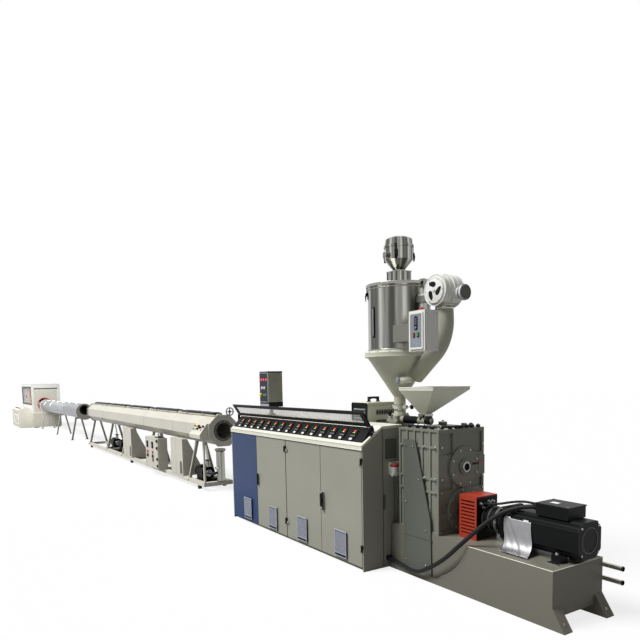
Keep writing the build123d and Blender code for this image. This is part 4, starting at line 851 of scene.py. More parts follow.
class LINE_OT_instruments(bpy.types.Operator):
    """Row of controllers on the sloping face, each with its display, keys and white button"""

    bl_idname = "pipeline.instruments"
    bl_label = "Instruments"

    def execute(self, context):
        sizes = context.scene.line_sizes
        pitch = 2.34 / sizes.instruments
        mid = 0.11 + pitch * (np.arange(sizes.instruments) + 0.25)
        rows = np.stack([mid, mid * 0, mid * 0], -1)
        keys = rows[:, None, :] + np.array([[-0.024, 0, 0], [-0.008, 0, 0], [0.008, 0, 0], [0.024, 0, 0]])
        glass = slab((0, 0.084), (0.06, 0.046, 0.004), 0.007, 0.0082, 2)
        self.put("controller_glass", copies(glass, rows), "black")
        red = slab((0.002, 0.096), (0.021, 0.011, 0.002), 0.0082, 0.0092, 2)
        self.put("red_displays", copies(red, rows), "glow_red")
        yellow = slab((0.0, 0.08), (0.015, 0.009, 0.002), 0.0082, 0.0092, 2)
        self.put("yellow_displays", copies(yellow, rows), "glow_yellow")
        lamps = slab((-0.024, 0.077), (0.005, 0.005, 0.002), 0.0082, 0.0094, 2)
        self.put("green_lamps", copies(lamps, rows), "glow_green")
        key = slab((0, 0.048), (0.011, 0.008, 0.002), 0.007, 0.0095, 2)
        self.put("controller_keys", copies(key, keys.reshape(-1, 3)), "grey")
        bezel = border((0, 0.0696), (0.08, 0.088, 0.006), (0.068, 0.076, 0.004), 0.004, 0.0105, 2)
        self.put("controller_rims", copies(bezel, rows), "rubber")
        base = slab((0, 0.014), (0.05, 0.025, 0.012), 0.0005, 0.005, 2)
        knob = slab((0, 0.014), (0.04, 0.02, 0.0098), 0.005, 0.0115, 2)
        fit("cover_back_rail", "black",
            block((CONSOLE_X0 + 0.01, -0.4367, 1.15), (CONSOLE_X1 - 0.01, -0.4335, 1.1975)),
            block((CONSOLE_X0 + 0.03, -0.464, 1.178), (CONSOLE_X1 - 0.03, -0.4367, 1.189)), bevel=0.0008)
        self.put("white_keys", copies(knob, rows), "ivory", 0.0012)
        self.put("white_key_rims", copies(base, rows), "black", 0.0008)
        return {"FINISHED"}

    @staticmethod
    def put(name, shape, finish, bevel=0.0):
        fit(name, finish, laid(shape, FACE_ORIGIN, (1, 0, 0), FACE_UP), bevel=bevel)


class LINE_OT_cover(bpy.types.Operator):
    """Clear flip-up cover: dark frame, milky pane, seal and hinge pins"""

    bl_idname = "pipeline.cover"
    bl_label = "Instrument cover"

    def execute(self, context):
        length, reach, bar = CONSOLE_X1 - CONSOLE_X0 - 0.028, 0.15, 0.032
        origin, lean = (CONSOLE_X0 + 0.014, COVER_HINGE_Y, COVER_HINGE_Z), (0.0, -0.5344, 0.8453)
        body = "console_cover_body"
        middle = length / 2, reach / 2
        fit("cover_frame", "black",
            laid(border(middle, (length, reach, 0.004), (length - 2 * bar, reach - 2 * bar, 0.006), -0.006,
            0.006, 2), origin, (1, 0, 0), lean), body=body, bevel=0.0015, replaces=("console_cover",))
        fit("cover_pane", "clear", laid(slab(middle,
            (length - 2 * bar + 0.006, reach - 2 * bar + 0.006, 0.006), -0.0015, 0.0015, 2), origin,
            (1, 0, 0), lean), body=body)
        fit("cover_seal", "rubber",
            laid(border(middle, (length - 2 * bar + 0.01, reach - 2 * bar + 0.01, 0.008),
            (length - 2 * bar - 0.004, reach - 2 * bar - 0.004, 0.006), -0.0028, 0.0028, 2), origin,
            (1, 0, 0), lean), body=body)
        fit("cover_end_plates", "black",
            *[laid(prism([(x, -0.004), (x + w, -0.004), (x + w, 0.12), (x + w * 0.5, 0.14), (x, 0.12)],
            -0.0058, 0.0058, 2), origin, (1, 0, 0), lean) for x, w in ((0.0, 0.06), (length - 0.06, 0.06))],
            body=body, bevel=0.001)
        fit("cover_pins", "screw", *[rod((0, COVER_HINGE_Y, COVER_HINGE_Z), 0, 0.005, x, x + 0.04, 20)
            for x in (CONSOLE_X0 + 0.0005, CONSOLE_X1 - 0.0405)], body=body, smooth=True)
        fit("cover_cheek_screws", "screw",
            hex_heads([(CONSOLE_X1, COVER_HINGE_Y, z) for z in (1.118, 1.164)], 0, 0.005, 0.003))
        return {"FINISHED"}


class LINE_OT_pendant(bpy.types.Operator):
    """Swivelling box on its post: dark front with displays, lamps and buttons, black end caps"""

    bl_idname = "pipeline.pendant"
    bl_label = "Pendant box"

    def execute(self, context):
        body, y = "pendant_box_body", -0.29
        fit("pendant_front", "navy", slab((PENDANT_X, PENDANT_Z), (0.186, 0.322, 0.006), y - 0.0015, y, 1),
            body=body, bevel=0.0006)
        fit("pendant_rim", "steel",
            border((PENDANT_X, PENDANT_Z), (0.204, 0.341, 0.008), (0.186, 0.322, 0.006), y - 0.004,
            y + 0.004, 1), body=body, bevel=0.0008)
        caps = [slab((PENDANT_X, -0.197), (0.226, 0.182, 0.006), low, high, 2)
            for low, high in ((1.306, 1.36), (1.695, 1.7105))]
        caps.append(frame_of(rounded(0.222, 0.178, 0.006, (PENDANT_X, -0.197)),
            rounded(0.09, 0.09, 0.03, (PENDANT_X, -0.2)), 1.306, 1.3445, 2))
        fit("pendant_caps", "black", *caps, body=body, bevel=0.0015)
        fit("pendant_lower_trim", "slat", block((-2.598, -0.2905, 1.312), (-2.382, -0.2855, 1.34)),
            body=body, bevel=0.0015)
        shade = y - 0.0015
        fit("pendant_displays", "glow_red",
            *[slab((x, 1.618), (0.026, 0.024, 0.003), shade - 0.0025, shade, 1)
            for x in (-2.546, PENDANT_X, -2.434)], body=body)
        fit("pendant_white_buttons", "ivory",
            *[button((x, 0, 1.522), 1, 0.016, shade, shade - 0.012) for x in (-2.53, -2.47)], body=body,
            smooth=True)
        fit("pendant_stop_collar", "ruby", rod((-2.546, 0, 1.444), 1, 0.0225, shade - 0.003, shade),
            body=body, smooth=True)
        fit("pendant_stop_button", "yolk", rod((-2.546, 0, 1.444), 1, 0.012, shade - 0.012, shade),
            button((-2.546, 0, 1.444), 1, 0.02, shade - 0.01, shade - 0.026), body=body, smooth=True)
        fit("pendant_green_buttons", "leaf",
            *[button((x, 0, 1.44), 1, 0.013, shade, shade - 0.011) for x in (PENDANT_X, -2.446)], body=body,
            smooth=True)
        fit("pendant_button_rings", "screw",
            *[ring((x, shade - 0.001, z), 1, r, 0.0022, 24, 8)
            for x, z, r in ((-2.53, 1.522, 0.018), (-2.47, 1.522, 0.018), (PENDANT_X, 1.44, 0.015),
            (-2.446, 1.44, 0.015))], body=body, smooth=True)
        fit("pendant_screws", "screw",
            hex_heads([(-2.38, yy, zz) for yy in (-0.262, -0.132) for zz in (1.375, 1.68)], 0, 0.005,
            0.003), body=body)
        fit("pendant_neck", "screw",
            turning([(0, 1.214), (0.04, 1.214), (0.04, 1.222), (0.026, 1.238), (0.0205, 1.26), (0, 1.26)],
            (PENDANT_X, -0.2, 0), 2, 32),
            hex_heads(circle_of((PENDANT_X, -0.2, 1.2212), 2, 0.034, 4, 45), 2, 0.005, 0.004))
        return {"FINISHED"}


class LINE_OT_base_trim(bpy.types.Operator):
    """Painted highlights along the machine base's top and curved edges, foot bolts, plate screws, and rims and
    clips of the water pipes
    """

    bl_idname = "pipeline.base_trim"
    bl_label = "Base edges"

    def execute(self, context):
        angle = np.linspace(0.0, 1.0, 24)
        start, middle, end = np.array([0.631, 0.379]), np.array([0.529, 0.2]), np.array([0.362, 0.082])
        control = 2 * middle - (start + end) / 2
        curve = (((1 - angle) ** 2)[:, None] * start + (2 * angle * (1 - angle))[:, None] * control
            + (angle ** 2)[:, None] * end)
        # painted highlight: the pale line along the base's top front and end edges stands for light caught on
        # the edge, where the paint is also worn; the lighter line round the curved cut is a painted highlight
        # on that edge
        fit("base_edge_highlight", "lip",
            tube([(0.634, BED_FRONT, BED_TOP), (1.3415, BED_FRONT, BED_TOP)], 0.0028, 8),
            tube([(1.3415, BED_FRONT, BED_TOP), (1.3415, 0.2385, BED_TOP)], 0.0028, 8), smooth=True)
        fit("base_curve_highlight", "sheet",
            tube(np.stack([curve[:, 0], curve[:, 0] * 0 + BED_FRONT, curve[:, 1]], -1), 0.0022, 8),
            smooth=True)
        fit("base_foot_bolts", "screw",
            hex_heads([(1.395, y, 0.0455) for y in (-0.252, 0.198)], 2, 0.011, 0.01),
            copies(rod((0, 0, 0), 2, 0.016, -0.002, 0.0015, 20),
            [(1.395, y, 0.0445) for y in (-0.252, 0.198)]))
        fit("side_panel_screws", "screw",
            hex_heads([(0.185, -0.2885, 0.12), (0.185, -0.2885, 0.4), (-0.05, -0.2885, 0.12),
            (-0.05, -0.2885, 0.6), (-0.05, -0.2885, 1.06), (0.04, -0.2885, 1.06), (0.11, -0.2885, 0.8)], 1,
            0.006, 0.004, -1))
        fit("water_pipe_rims", "black",
            *[turning([(0.013, -0.001), (0.0172, -0.001), (0.0178, 0.004), (0.0165, 0.0065),
            (0.013, 0.0065), (0.013, -0.001)], (1.472, WATER_Y, z), 0, 28) for z in (0.231, 0.325)],
            smooth=True)
        fit("water_pipe_clips", "black",
            *[ring((x, WATER_Y, z), 0, 0.0178, 0.0026, 24, 8) for x in (0.45, 0.85, 1.25)
            for z in (0.231, 0.325)], smooth=True)
        return {"FINISHED"}


class LINE_OT_gearbox(bpy.types.Operator):
    """Gearbox fittings: cover bolts, bore, red tipped sight pin, flange bolts and the oil pipes on top"""

    bl_idname = "pipeline.gearbox"
    bl_label = "Gearbox fittings"

    def execute(self, context):
        fit("gearbox_cover_bolts", "screw",
            hex_heads(circle_of((COVER_FACE, 0, PIPE_Z), 0, 0.14, 8, 22), 0, 0.0085, 0.007),
            hex_heads(circle_of((COVER_FACE, 0, LOWER_COVER_Z), 0, 0.158, 8, 10), 0, 0.0085, 0.007),
            hex_heads([(0.312, y, z) for z in (0.713, 0.817, 1.064) for y in (-0.236, 0.212)], 0, 0.009,
            0.008))
        fit("gearbox_cover_edges", "casting", ring((0.3265, 0, PIPE_Z), 0, 0.158, 0.0022, 64, 8),
            ring((0.3265, 0, LOWER_COVER_Z), 0, 0.176, 0.0022, 64, 8),
            ring((0.34, 0, PIPE_Z), 0, 0.058, 0.0025, 48, 8), smooth=True)
        fit("gearbox_shaft_collar", "screw",
            turning([(0.0295, COVER_FACE), (0.042, COVER_FACE), (0.042, 0.3455), (0.038, 0.3485),
            (0.0295, 0.3485), (0.0295, COVER_FACE)], (0, 0, PIPE_Z), 0, 40), smooth=True)
        fit("gearbox_shaft_bore", "black", rod((0, 0, PIPE_Z), 0, 0.0295, 0.322, 0.33, 32))
        fit("sight_pin", "black", rod((COVER_FACE, 0, 0.915), 1, 0.007, 0.085, 0.15, 16),
            rod((COVER_FACE, 0, 0.915), 1, 0.01, 0.098, 0.11, 6))
        fit("sight_pin_tip", "ruby", rod((COVER_FACE, 0, 0.915), 1, 0.0068, 0.15, 0.205, 16), smooth=True)
        side = [(x, -0.2685, z) for z in (0.713, 0.817, 1.064) for x in (-0.09, 0.03, 0.15, 0.27)]
        fit("gearbox_side_bolts", "screw", hex_heads(side, 1, 0.01, 0.012, -1),
            copies(rod((0, 0, 0), 1, 0.013, -0.0015, 0.0005, 20), side))
        fit("gearbox_far_bolts", "screw",
            hex_heads([(x, 0.2325, z) for z in (0.713, 0.817, 1.064) for x in (-0.09, 0.03, 0.15, 0.27)], 1,
            0.01, 0.012))
        top = 1.2
        fit("oil_pipes", "rubber", tube(smooth_path([(-0.1, -0.21, top + 0.016), (0.06, -0.22, top + 0.018),
            (0.22, -0.19, top + 0.016), (0.285, -0.05, top + 0.018), (0.285, 0.14, top + 0.016)], 40),
            0.008, 10), tube(smooth_path([(0.2, -0.22, top + 0.012), (0.265, -0.12, top + 0.014),
            (0.262, 0.06, top + 0.014), (0.2, 0.19, top + 0.012)], 30), 0.006, 10), smooth=True)
        spots = [(-0.08, -0.21), (0.02, -0.215), (0.1, -0.215), (0.18, -0.21), (0.24, -0.17),
            (0.285, -0.12), (0.285, -0.05), (0.285, 0.0), (0.285, 0.06), (0.285, 0.12), (0.285, 0.19),
            (0.21, 0.19)]
        fit("oil_distributors", "black",
            *[block((x - 0.014, y - 0.012, top), (x + 0.014, y + 0.012, top + 0.016 + 0.005 * (number % 3)))
            for number, (x, y) in enumerate(spots)], bevel=0.002)
        fit("oil_unions", "screw", hex_heads([(x, y, top + 0.016 + 0.005 * (number % 3))
            for number, (x, y) in enumerate(spots)], 2, 0.006, 0.008))
        fit("gearbox_hatch_caps", "screw",
            *[rod((x, 0.12, 0), 2, r + 0.002, 1.2245, 1.232, 32)
            for x, r in ((-0.04, 0.036), (0.2, 0.022))], smooth=True)
        fit("lifting_eyes", "screw",
            *[join(ring((x, y, top + 0.02), 1, 0.014, 0.0045, 24, 10),
            rod((x, y, 0), 2, 0.012, top, top + 0.005)) for x, y in ((-0.115, 0.195), (0.275, -0.225))],
            smooth=True)
        return {"FINISHED"}


class LINE_OT_drive(bpy.types.Operator):
    """Drive fittings: fan housing end, motor face ring, screws, terminal box and coupling bands"""

    bl_idname = "pipeline.drive"
    bl_label = "Drive fittings"

    def execute(self, context):
        fit("fan_housing_end", "dark", slab((-0.027, 0.544), (0.222, 0.314, 0.006), 0.575, 0.5775, 0),
            bevel=0.0008)
        fit("fan_slot_shade", "black",
            *[block((0.42, -0.1225, z), (0.5585, -0.1195, z + 0.014))
            for z in np.linspace(0.418, 0.662, 10)])
        fit("fan_slot_lips", "red",
            *[block((0.42, -0.1415, z + 0.012), (0.558, -0.1385, z + 0.0145))
            for z in np.linspace(0.418, 0.662, 10)])
        fit("fan_connectors", "screw",
            *[rod((0, y, z), 0, r, low, high, steps)
            for r, low, high, steps in ((0.013, 0.5775, 0.59, 6), (0.008, 0.59, 0.606, 20))
            for y, z in ((-0.105, 0.66), (-0.08, 0.63), (-0.02, 0.668), (0.02, 0.668))], smooth=True)
        fit("coupling_bands", "plate",
            *[ring((x, 0, MOTOR_Z), 0, 0.0925, 0.004, 64, 10) for x in (0.586, 0.64, 0.77)],
            rod((0, 0, MOTOR_Z), 0, 0.108, 0.7, 0.722, 64, 0.04), smooth=True)
        fit("coupling_bolts", "screw",
            hex_heads(circle_of((0.722, 0, MOTOR_Z), 0, 0.099, 10), 0, 0.006, 0.005))
        x = 1.4
        fit("motor_end_ring", "plate", ring((x - 0.002, 0, MOTOR_Z), 0, 0.083, 0.0045, 72, 12),
            ring((x - 0.003, 0, MOTOR_Z), 0, 0.07, 0.0015, 64, 8), smooth=True)
        fit("motor_end_screws", "screw",
            hex_heads([(x, sy * 0.088, MOTOR_Z + sz * 0.088) for sy in (-1, 1) for sz in (-1, 1)], 0, 0.008,
            0.006))
        fit("motor_flange_screws", "screw",
            hex_heads([(0.816, sy * 0.104, MOTOR_Z + sz * 0.104) for sy in (-1, 1) for sz in (-1, 1)], 0,
            0.01, 0.008))
        seams = [tube([(0.83, sy * 0.0995, 0.652), (1.392, sy * 0.0995, 0.652)], 0.0032, 8)
            for sy in (-1, 1)]
        seams += [tube([(0.83, sy * 0.1205, 0.456 + k * 0.172), (1.392, sy * 0.1205, 0.456 + k * 0.172)],
            0.0022, 8) for sy in (-1, 1) for k in (0, 1)]
        fit("motor_edge_beads", "dark", *seams, smooth=True)
        box_x, top = (1.056, 1.309), 0.748
        fit("terminal_screws", "screw",
            hex_heads([(px, py, top) for px in (box_x[0] + 0.014, box_x[1] - 0.014)
            for py in (-0.084, 0.084)], 2, 0.006, 0.004))
        fit("terminal_blank_plate", "ivory",
            slab((1.15, -0.01), (0.062, 0.04, 0.004), top, top + 0.0015, 2))
        fit("terminal_gasket", "rubber",
            border((1.1825, 0), (0.2535, 0.1985, 0.004), (0.24, 0.186, 0.004), 0.7385, 0.7415, 2))
        feet = [(fx, fy, 0.436) for fx in (0.885, 1.248) for fy in (-0.12, 0.12)]
        fit("motor_foot_bolts", "screw", hex_heads(feet, 2, 0.011, 0.012),
            copies(rod((0, 0, 0), 2, 0.016, -0.001, 0.002, 20), feet))
        fit("motor_shims", "bar", *[block((fx - 0.045, fy - 0.022, 0.3792), (fx + 0.045, fy + 0.022, 0.386))
            for fx in (0.885, 1.248) for fy in (-0.155, 0.155)], bevel=0.001)
        return {"FINISHED"}


class LINE_OT_pouch(bpy.types.Operator):
    """Silvery film pouch taped to the motor's side, hanging down and curling out over the bed"""

    bl_idname = "pipeline.pouch"
    bl_label = "Film pouch"

    def execute(self, context):
        wide, straight, bend = 0.235, 0.12, 0.1
        u, v = np.meshgrid(np.linspace(0, 1, 40), np.linspace(0, 1, 44), indexing="ij")
        along = v * (straight + bend * 1.45)
        turn = np.clip((along - straight) / bend, 0, 1.45)
        y = -0.1262 - bend * (1 - np.cos(turn))
        z = 0.608 - np.minimum(along, straight) - bend * np.sin(turn)
        x = 0.812 + u * wide + 0.045 * v * v
        folds = (0.0012 * np.sin(8 * u + 5 * v) * np.sin(9 * v - 4 * u) + 0.0005 * np.sin(23 * u - 11 * v)
            + 0.0016 * np.exp(-((u - 0.25 - 0.5 * v) / 0.05) ** 2))
        y = y - (folds + 0.0035) * np.clip(v * 6, 0, 1)
        z = np.maximum(z + 0.4 * folds, 0.3812)
        points = np.stack([x, y, z], -1).reshape(-1, 3)
        pouch = fit("document_pouch", "foil", (points, grid_faces(40, 44)), smooth=True)
        wall = pouch.modifiers.new("Film", "SOLIDIFY")
        wall.thickness, wall.offset = 0.0008, 0.0
        fit("pouch_tape", "ivory", *[block((a, -0.1262, 0.588), (a + 0.04, -0.1225, 0.618))
            for a in (0.835, 0.985)], bevel=0.0005)
        return {"FINISHED"}


DRYER_X = -0.45


class LINE_OT_dryer(bpy.types.Operator):
    """Dryer fittings: sight glass, flange bolts, clamps, lid hinge, slide gate and the cone's elbow"""

    bl_idname = "pipeline.dryer"
    bl_label = "Dryer fittings"

    def execute(self, context):
        centre = DRYER_X, 0.0, 0.0
        fit("sight_glass_frame", "black", self.round_plate(266.5, 0.03, 0.262, 2.08, 0.2722, 0.279),
            smooth=True)
        fit("sight_glass_pane", "grey", self.round_plate(266.5, 0.014, 0.238, 2.08, 0.279, 0.28),
            smooth=True)
        fit("drum_beads", "steel", *[ring((DRYER_X, 0, z), 2, r, t, 96, 10)
            for z, r, t in ((1.8485, 0.274, 0.004), (2.366, 0.275, 0.004), (2.403, 0.287, 0.0045))],
            smooth=True)
        fit("flange_beads", "lip", *[ring((DRYER_X, 0, z), 2, 0.3035, 0.003, 96, 10)
            for z in (1.7905, 1.8235)], smooth=True)
        fit("drum_seat", "lip", turning([(0.28, 1.8405), (0.2812, 1.8405), (0.2812, 1.8245),
            (0.305, 1.8245), (0.305, 1.826), (0.2826, 1.826), (0.2826, 1.842), (0.28, 1.842),
            (0.28, 1.8405)], centre, 2, 96), smooth=True)
        fit("flange_bolts", "screw",
            hex_heads(circle_of((DRYER_X, 0, 1.8262), 2, 0.2935, 16, 11), 2, 0.007, 0.006),
            hex_heads(circle_of((DRYER_X, 0, 1.7898), 2, 0.2955, 16, 11), 2, 0.007, 0.006, -1))
        for number, degrees in enumerate((232.0, 118.0), 1):
            self.clamp(f"lid_clamp_{number}", degrees, 0.272, 2.385)
        for number, degrees in enumerate((200.0, 310.0, 70.0), 1):
            self.clamp(f"loader_clamp_{number}", degrees, 0.122, 2.722)
        fit("lid_hinge", "screw", block((-0.205, 0.01, 2.352), (-0.15, 0.034, 2.425)),
            block((-0.205, 0.066, 2.352), (-0.15, 0.09, 2.425)),
            block((-0.235, 0.0, 2.398), (-0.16, 0.1, 2.418)), bevel=0.002)
        fit("lid_hinge_pin", "dark", rod((-0.168, 0, 2.392), 1, 0.01, -0.012, 0.112, 20), smooth=True)
        fit("slide_gate_plate", "screw",
            block((DRYER_X - 0.125, -0.03, 1.344), (DRYER_X - 0.088, 0.03, 1.358)),
            block((DRYER_X + 0.088, -0.004, 1.347), (DRYER_X + 0.15, 0.004, 1.356)), bevel=0.0015)
        fit("gate_knobs", "black", *[turning([(0, -0.02), (0.013, -0.018), (0.017, 0.0), (0.013, 0.018),
            (0, 0.02)], (x, y, z), 2, 24)
            for x, y, z in ((DRYER_X + 0.158, 0, 1.352), (DRYER_X - 0.02, -0.1, 1.292))], smooth=True)
        fit("neck_collars", "steel", rod((DRYER_X, 0, 0), 2, 0.0548, 1.366, 1.376, 48, 0.05),
            rod((DRYER_X, 0, 0), 2, 0.06, 1.322, 1.336, 48, 0.05), smooth=True)
        fit("neck_bolts", "screw", hex_heads(circle_of((DRYER_X, 0, 1.292), 2, 0.066, 8), 2, 0.006, 0.005))
        fit("cone_elbow", "lip", tube(smooth_path([(-0.345, -0.085, ELBOW_Z), (-0.3, -0.12, ELBOW_Z),
            (-0.252, -0.11, 1.585), (-0.235, -0.062, 1.59)], 24), 0.026, 20),
            rod((0, -0.1155, ELBOW_Z), 0, 0.034, -0.29, -0.278, 32), smooth=True)
        fit("cone_elbow_knob", "grey",
            turned_about(rod((-0.3, 0, ELBOW_Z), 1, 0.03, -0.162, -0.142, 32, 0.2), (-0.3, -0.15, ELBOW_Z),
            2, -10), smooth=True)
        fit("cone_port_cover", "lip", rod((-0.3, 0, ELBOW_Z), 1, 0.022, -0.146, -0.108, 28), smooth=True)
        fit("loader_port_rims", "screw", rod((0, 0, 2.688), 0, 0.0285, -0.64, -0.615, 28),
            rod((DRYER_X, 0, 2.658), 1, 0.0235, -0.163, -0.145, 28), smooth=True)
        fit("loader_box_flanges", "steel", slab((DRYER_X, 0.0), (0.16, 0.012, 0.003), 2.43, 2.436, 2),
            block((DRYER_X - 0.079, -0.079, 2.429), (DRYER_X + 0.079, 0.079, 2.436)),
            block((DRYER_X - 0.079, -0.079, 2.518), (DRYER_X + 0.079, 0.079, 2.526)), bevel=0.001)
        return {"FINISHED"}

    @staticmethod
    def round_plate(degrees, wide, tall, z, low, high):
        """A plate with round ends wrapped on the drum: outline (w, h) goes to angle w / r and height z + h."""
        outline = rounded(wide, tall, wide * 0.48, (0, 0), 7)
        angle = math.radians(degrees) + outline[:, 0] / 0.272
        loops = [np.stack([DRYER_X + r * np.cos(angle), r * np.sin(angle), z + outline[:, 1]], -1)
                 for r in (low, high)]
        count = len(outline)
        faces = grid_faces(2, count, close_columns=True)
        return np.concatenate(loops), faces + [list(range(count))[::-1], list(range(count, 2 * count))]

    @staticmethod
    def clamp(name, degrees, radius, z):
        """An over centre clamp: base plate, bent lever, pin and hook bar, turned into place round the drum."""
        lever = [(radius + 0.006, z - 0.034), (radius + 0.019, z - 0.036), (radius + 0.026, z - 0.07),
            (radius + 0.021, z - 0.108), (radius + 0.014, z - 0.108), (radius + 0.015, z - 0.072),
            (radius + 0.006, z - 0.06)]
        parts = join(block((radius - 0.004, -0.014, z - 0.09), (radius + 0.006, 0.014, z - 0.03)),
            prism(lever, -0.01, 0.01, 1), rod((radius + 0.012, 0, z - 0.046), 1, 0.006, -0.015, 0.015, 12),
            block((radius + 0.005, -0.006, z - 0.05), (radius + 0.012, 0.006, z + 0.016)),
            block((radius - 0.002, -0.009, z + 0.01), (radius + 0.015, 0.009, z + 0.02)))
        points, faces = turned_about(parts, (0, 0, 0), 2, degrees)
        fit(name, "dark", (points + np.array([DRYER_X, 0, 0]), faces), bevel=0.001)


class LINE_OT_dryer_controls(bpy.types.Operator):
    """Dryer control box face: grey plate, black keypad, red and green rockers and the red lamp"""

    bl_idname = "pipeline.dryer_controls"
    bl_label = "Dryer controls"

    def execute(self, context):
        y = -0.336
        fit("control_plate", "grey", slab((CONTROL_X, CONTROL_Z), (0.128, 0.252, 0.006), y - 0.0012, y, 1))
        fit("control_rim", "ivory",
            border((CONTROL_X, CONTROL_Z), (0.15, 0.278, 0.008), (0.128, 0.252, 0.006), y - 0.0035,
            y + 0.0015, 1), bevel=0.0008)
        fit("control_keypad", "black",
            prism(rounded(0.038, 0.108, 0.018, (CONTROL_X, 2.018), 7), y - 0.005, y - 0.001, 1),
            bevel=0.0012)
        fit("control_keys", "grey",
            copies(slab((0, 0), (0.022, 0.008, 0.003), y - 0.0062, y - 0.005, 1),
            [(CONTROL_X, 0, z) for z in (2.05, 2.032, 2.014)]),
            button((CONTROL_X, 0, 1.984), 1, 0.01, y - 0.005, y - 0.009))
        fit("control_rocker_frames", "black",
            copies(slab((0, 0), (0.024, 0.034, 0.003), y - 0.0048, y - 0.001, 1),
            [(0.118, 0, ROCKER_Z), (0.164, 0, ROCKER_Z)]))
        fit("control_red_rocker", "ruby",
            slab((0.118, ROCKER_Z), (0.014, 0.022, 0.003), y - 0.0075, y - 0.0046, 1), bevel=0.001)
        fit("control_green_rocker", "leaf",
            slab((0.164, ROCKER_Z), (0.014, 0.022, 0.003), y - 0.0075, y - 0.0046, 1), bevel=0.001)
        fit("control_scale_lines", "slat",
            *[slab((CONTROL_X, z), (0.09, 0.0035, 0.001), y - 0.0018, y - 0.0012, 1)
            for z in np.linspace(1.85, 1.895, 5)])
        fit("alarm_lens", "ruby", turning([(0, 2.116), (0.0215, 2.116), (0.0215, 2.124), (0.018, 2.1405),
            (0.009, 2.1475), (0, 2.149)], (0.1, -0.24, 0), 2, 32), smooth=True)
        fit("alarm_collar", "black", rod((0.1, -0.24, 0), 2, 0.0245, 2.1138, 2.1185, 32))
        fit("control_box_screws", "screw",
            hex_heads([(0.231, py, pz) for py in (-0.31, -0.21) for pz in (1.83, 2.09)], 0, 0.005, 0.003))
        return {"FINISHED"}


class LINE_OT_blower(bpy.types.Operator):
    """Hot air blower: three leaf shaped inlets, face, rings, hub, outlet, duct straps and bracket"""

    bl_idname = "pipeline.blower"
    bl_label = "Blower fittings"

    def execute(self, context):
        x, z, y = 0.075, 2.29, -0.09
        leaves = []
        s = np.linspace(0, 1, 15)
        half = 0.033 * np.sin(np.pi * s ** 0.8)
        for turn in (90, 210, 330):
            radius = 0.022 + 0.062 * s
            sweep = math.radians(turn) + 0.75 * s ** 1.2
            middle = np.stack([radius * np.cos(sweep), radius * np.sin(sweep)], -1)
            side = np.stack([-np.sin(sweep), np.cos(sweep)], -1) * half[:, None]
            outline = np.concatenate([middle + side, (middle - side)[::-1][1:-1]]) + np.array([x, z])
            leaves.append(prism(outline, y - 0.0012, y + 0.001, 1))
        fit("blower_inlets", "black", *leaves)
        fit("blower_face", "ivory",
            turning([(0, y - 0.0006), (0.088, y - 0.0006), (0.097, y + 0.003), (0.1, y + 0.012),
            (0.1, y + 0.013), (0, y + 0.013)], (x, 0, z), 1, 72), smooth=True)
        fit("blower_rings", "white",
            *[ring((x, py, z), 1, r, t, 80, 10)
            for py, r, t in ((-0.08, 0.1, 0.004), (-0.076, 0.121, 0.004), (-0.03, 0.1225, 0.003),
            (0.014, 0.1295, 0.004), (0.06, 0.1305, 0.003), (0.11, 0.129, 0.004))], smooth=True)
        fit("blower_hub", "white", button((x, 0, z), 1, 0.016, y, y - 0.008),
            hex_heads(circle_of((x, y - 0.0005, z), 1, 0.093, 6, 30), 1, 0.005, 0.004, -1), smooth=True)
        fit("blower_outlet_rims", "grey",
            *[ring((px, 0.062, OUTLET_Z), 0, r, 0.003, 56, 10)
            for px, r in ((0.246, 0.06), (0.266, 0.059), (0.228, 0.051))], smooth=True)
        fit("blower_outlet_mesh", "plate", rod((0, 0.062, OUTLET_Z), 0, 0.052, 0.2665, 0.2685, 48),
            smooth=True)
        fit("duct_straps", "bar", ring((0.0805, 0.02, 2.15), 2, 0.0735, 0.0045, 56, 10),
            ring((0.0775, 0.02, 2.178), 2, 0.073, 0.003, 56, 10), smooth=True)
        fit("duct_strap_bolt", "screw", block((0.14, -0.062, 2.138), (0.16, -0.04, 2.162)),
            rod((0.15, 0, 2.15), 1, 0.005, -0.075, -0.03, 12), bevel=0.001)
        fit("blower_bracket", "screw", block((-0.178, -0.046, 2.226), (0.0, -0.034, 2.276)),
            block((-0.178, 0.034, 2.226), (0.0, 0.046, 2.276)), bevel=0.0015)
        return {"FINISHED"}


class LINE_OT_feed(bpy.types.Operator):
    """Feeder fittings: black motor sleeve and bands, bolts, hopper rim, collar and latch"""

    bl_idname = "pipeline.feed"
    bl_label = "Feeder fittings"

    def execute(self, context):
        fit("feeder_motor_sleeve", "dark",
            rod((0, FEEDER_Y, FEEDER_Z), 0, FEEDER_R, -0.345, -0.16, 36, 0.12),
            rod((0, FEEDER_Y, FEEDER_Z), 0, FEEDER_R, -0.08, -0.02, 36, 0.12), smooth=True)
        fit("feeder_motor_bands", "rubber",
            *[ring((x, FEEDER_Y, FEEDER_Z), 0, FEEDER_R, 0.0025, 36, 8)
            for x in (-0.338, -0.3, -0.262, -0.224, -0.17, -0.06)], smooth=True)
        fit("feed_block_bolts", "screw",
            hex_heads([(x, -0.0845, z) for x in (-0.522, -0.402) for z in (1.222, 1.264)], 1, 0.008, 0.008,
            -1))
        fit("throat_bolts", "screw",
            hex_heads([(x, -0.0885, z) for x in (-0.52, -0.38) for z in (1.15, 1.19)], 1, 0.009, 0.01, -1))
        fit("hopper_rim", "ivory", border((-0.05, 0.03), (0.418, 0.418, 0.006), (0.402, 0.402, 0.004),
            1.516, 1.5255, 2), bevel=0.001)
        fit("hopper_collar", "steel",
            border((-0.12, 0), (0.092, 0.092, 0.006), (0.08, 0.08, 0.004), 1.282, 1.3, 2), bevel=0.001)
        fit("hopper_latch", "black", rod((-0.12, 0, 1.262), 1, 0.012, -0.062, -0.04, 20),
            rod((-0.092, -0.052, 0), 2, 0.006, 1.246, 1.292, 12), smooth=True)
        return {"FINISHED"}


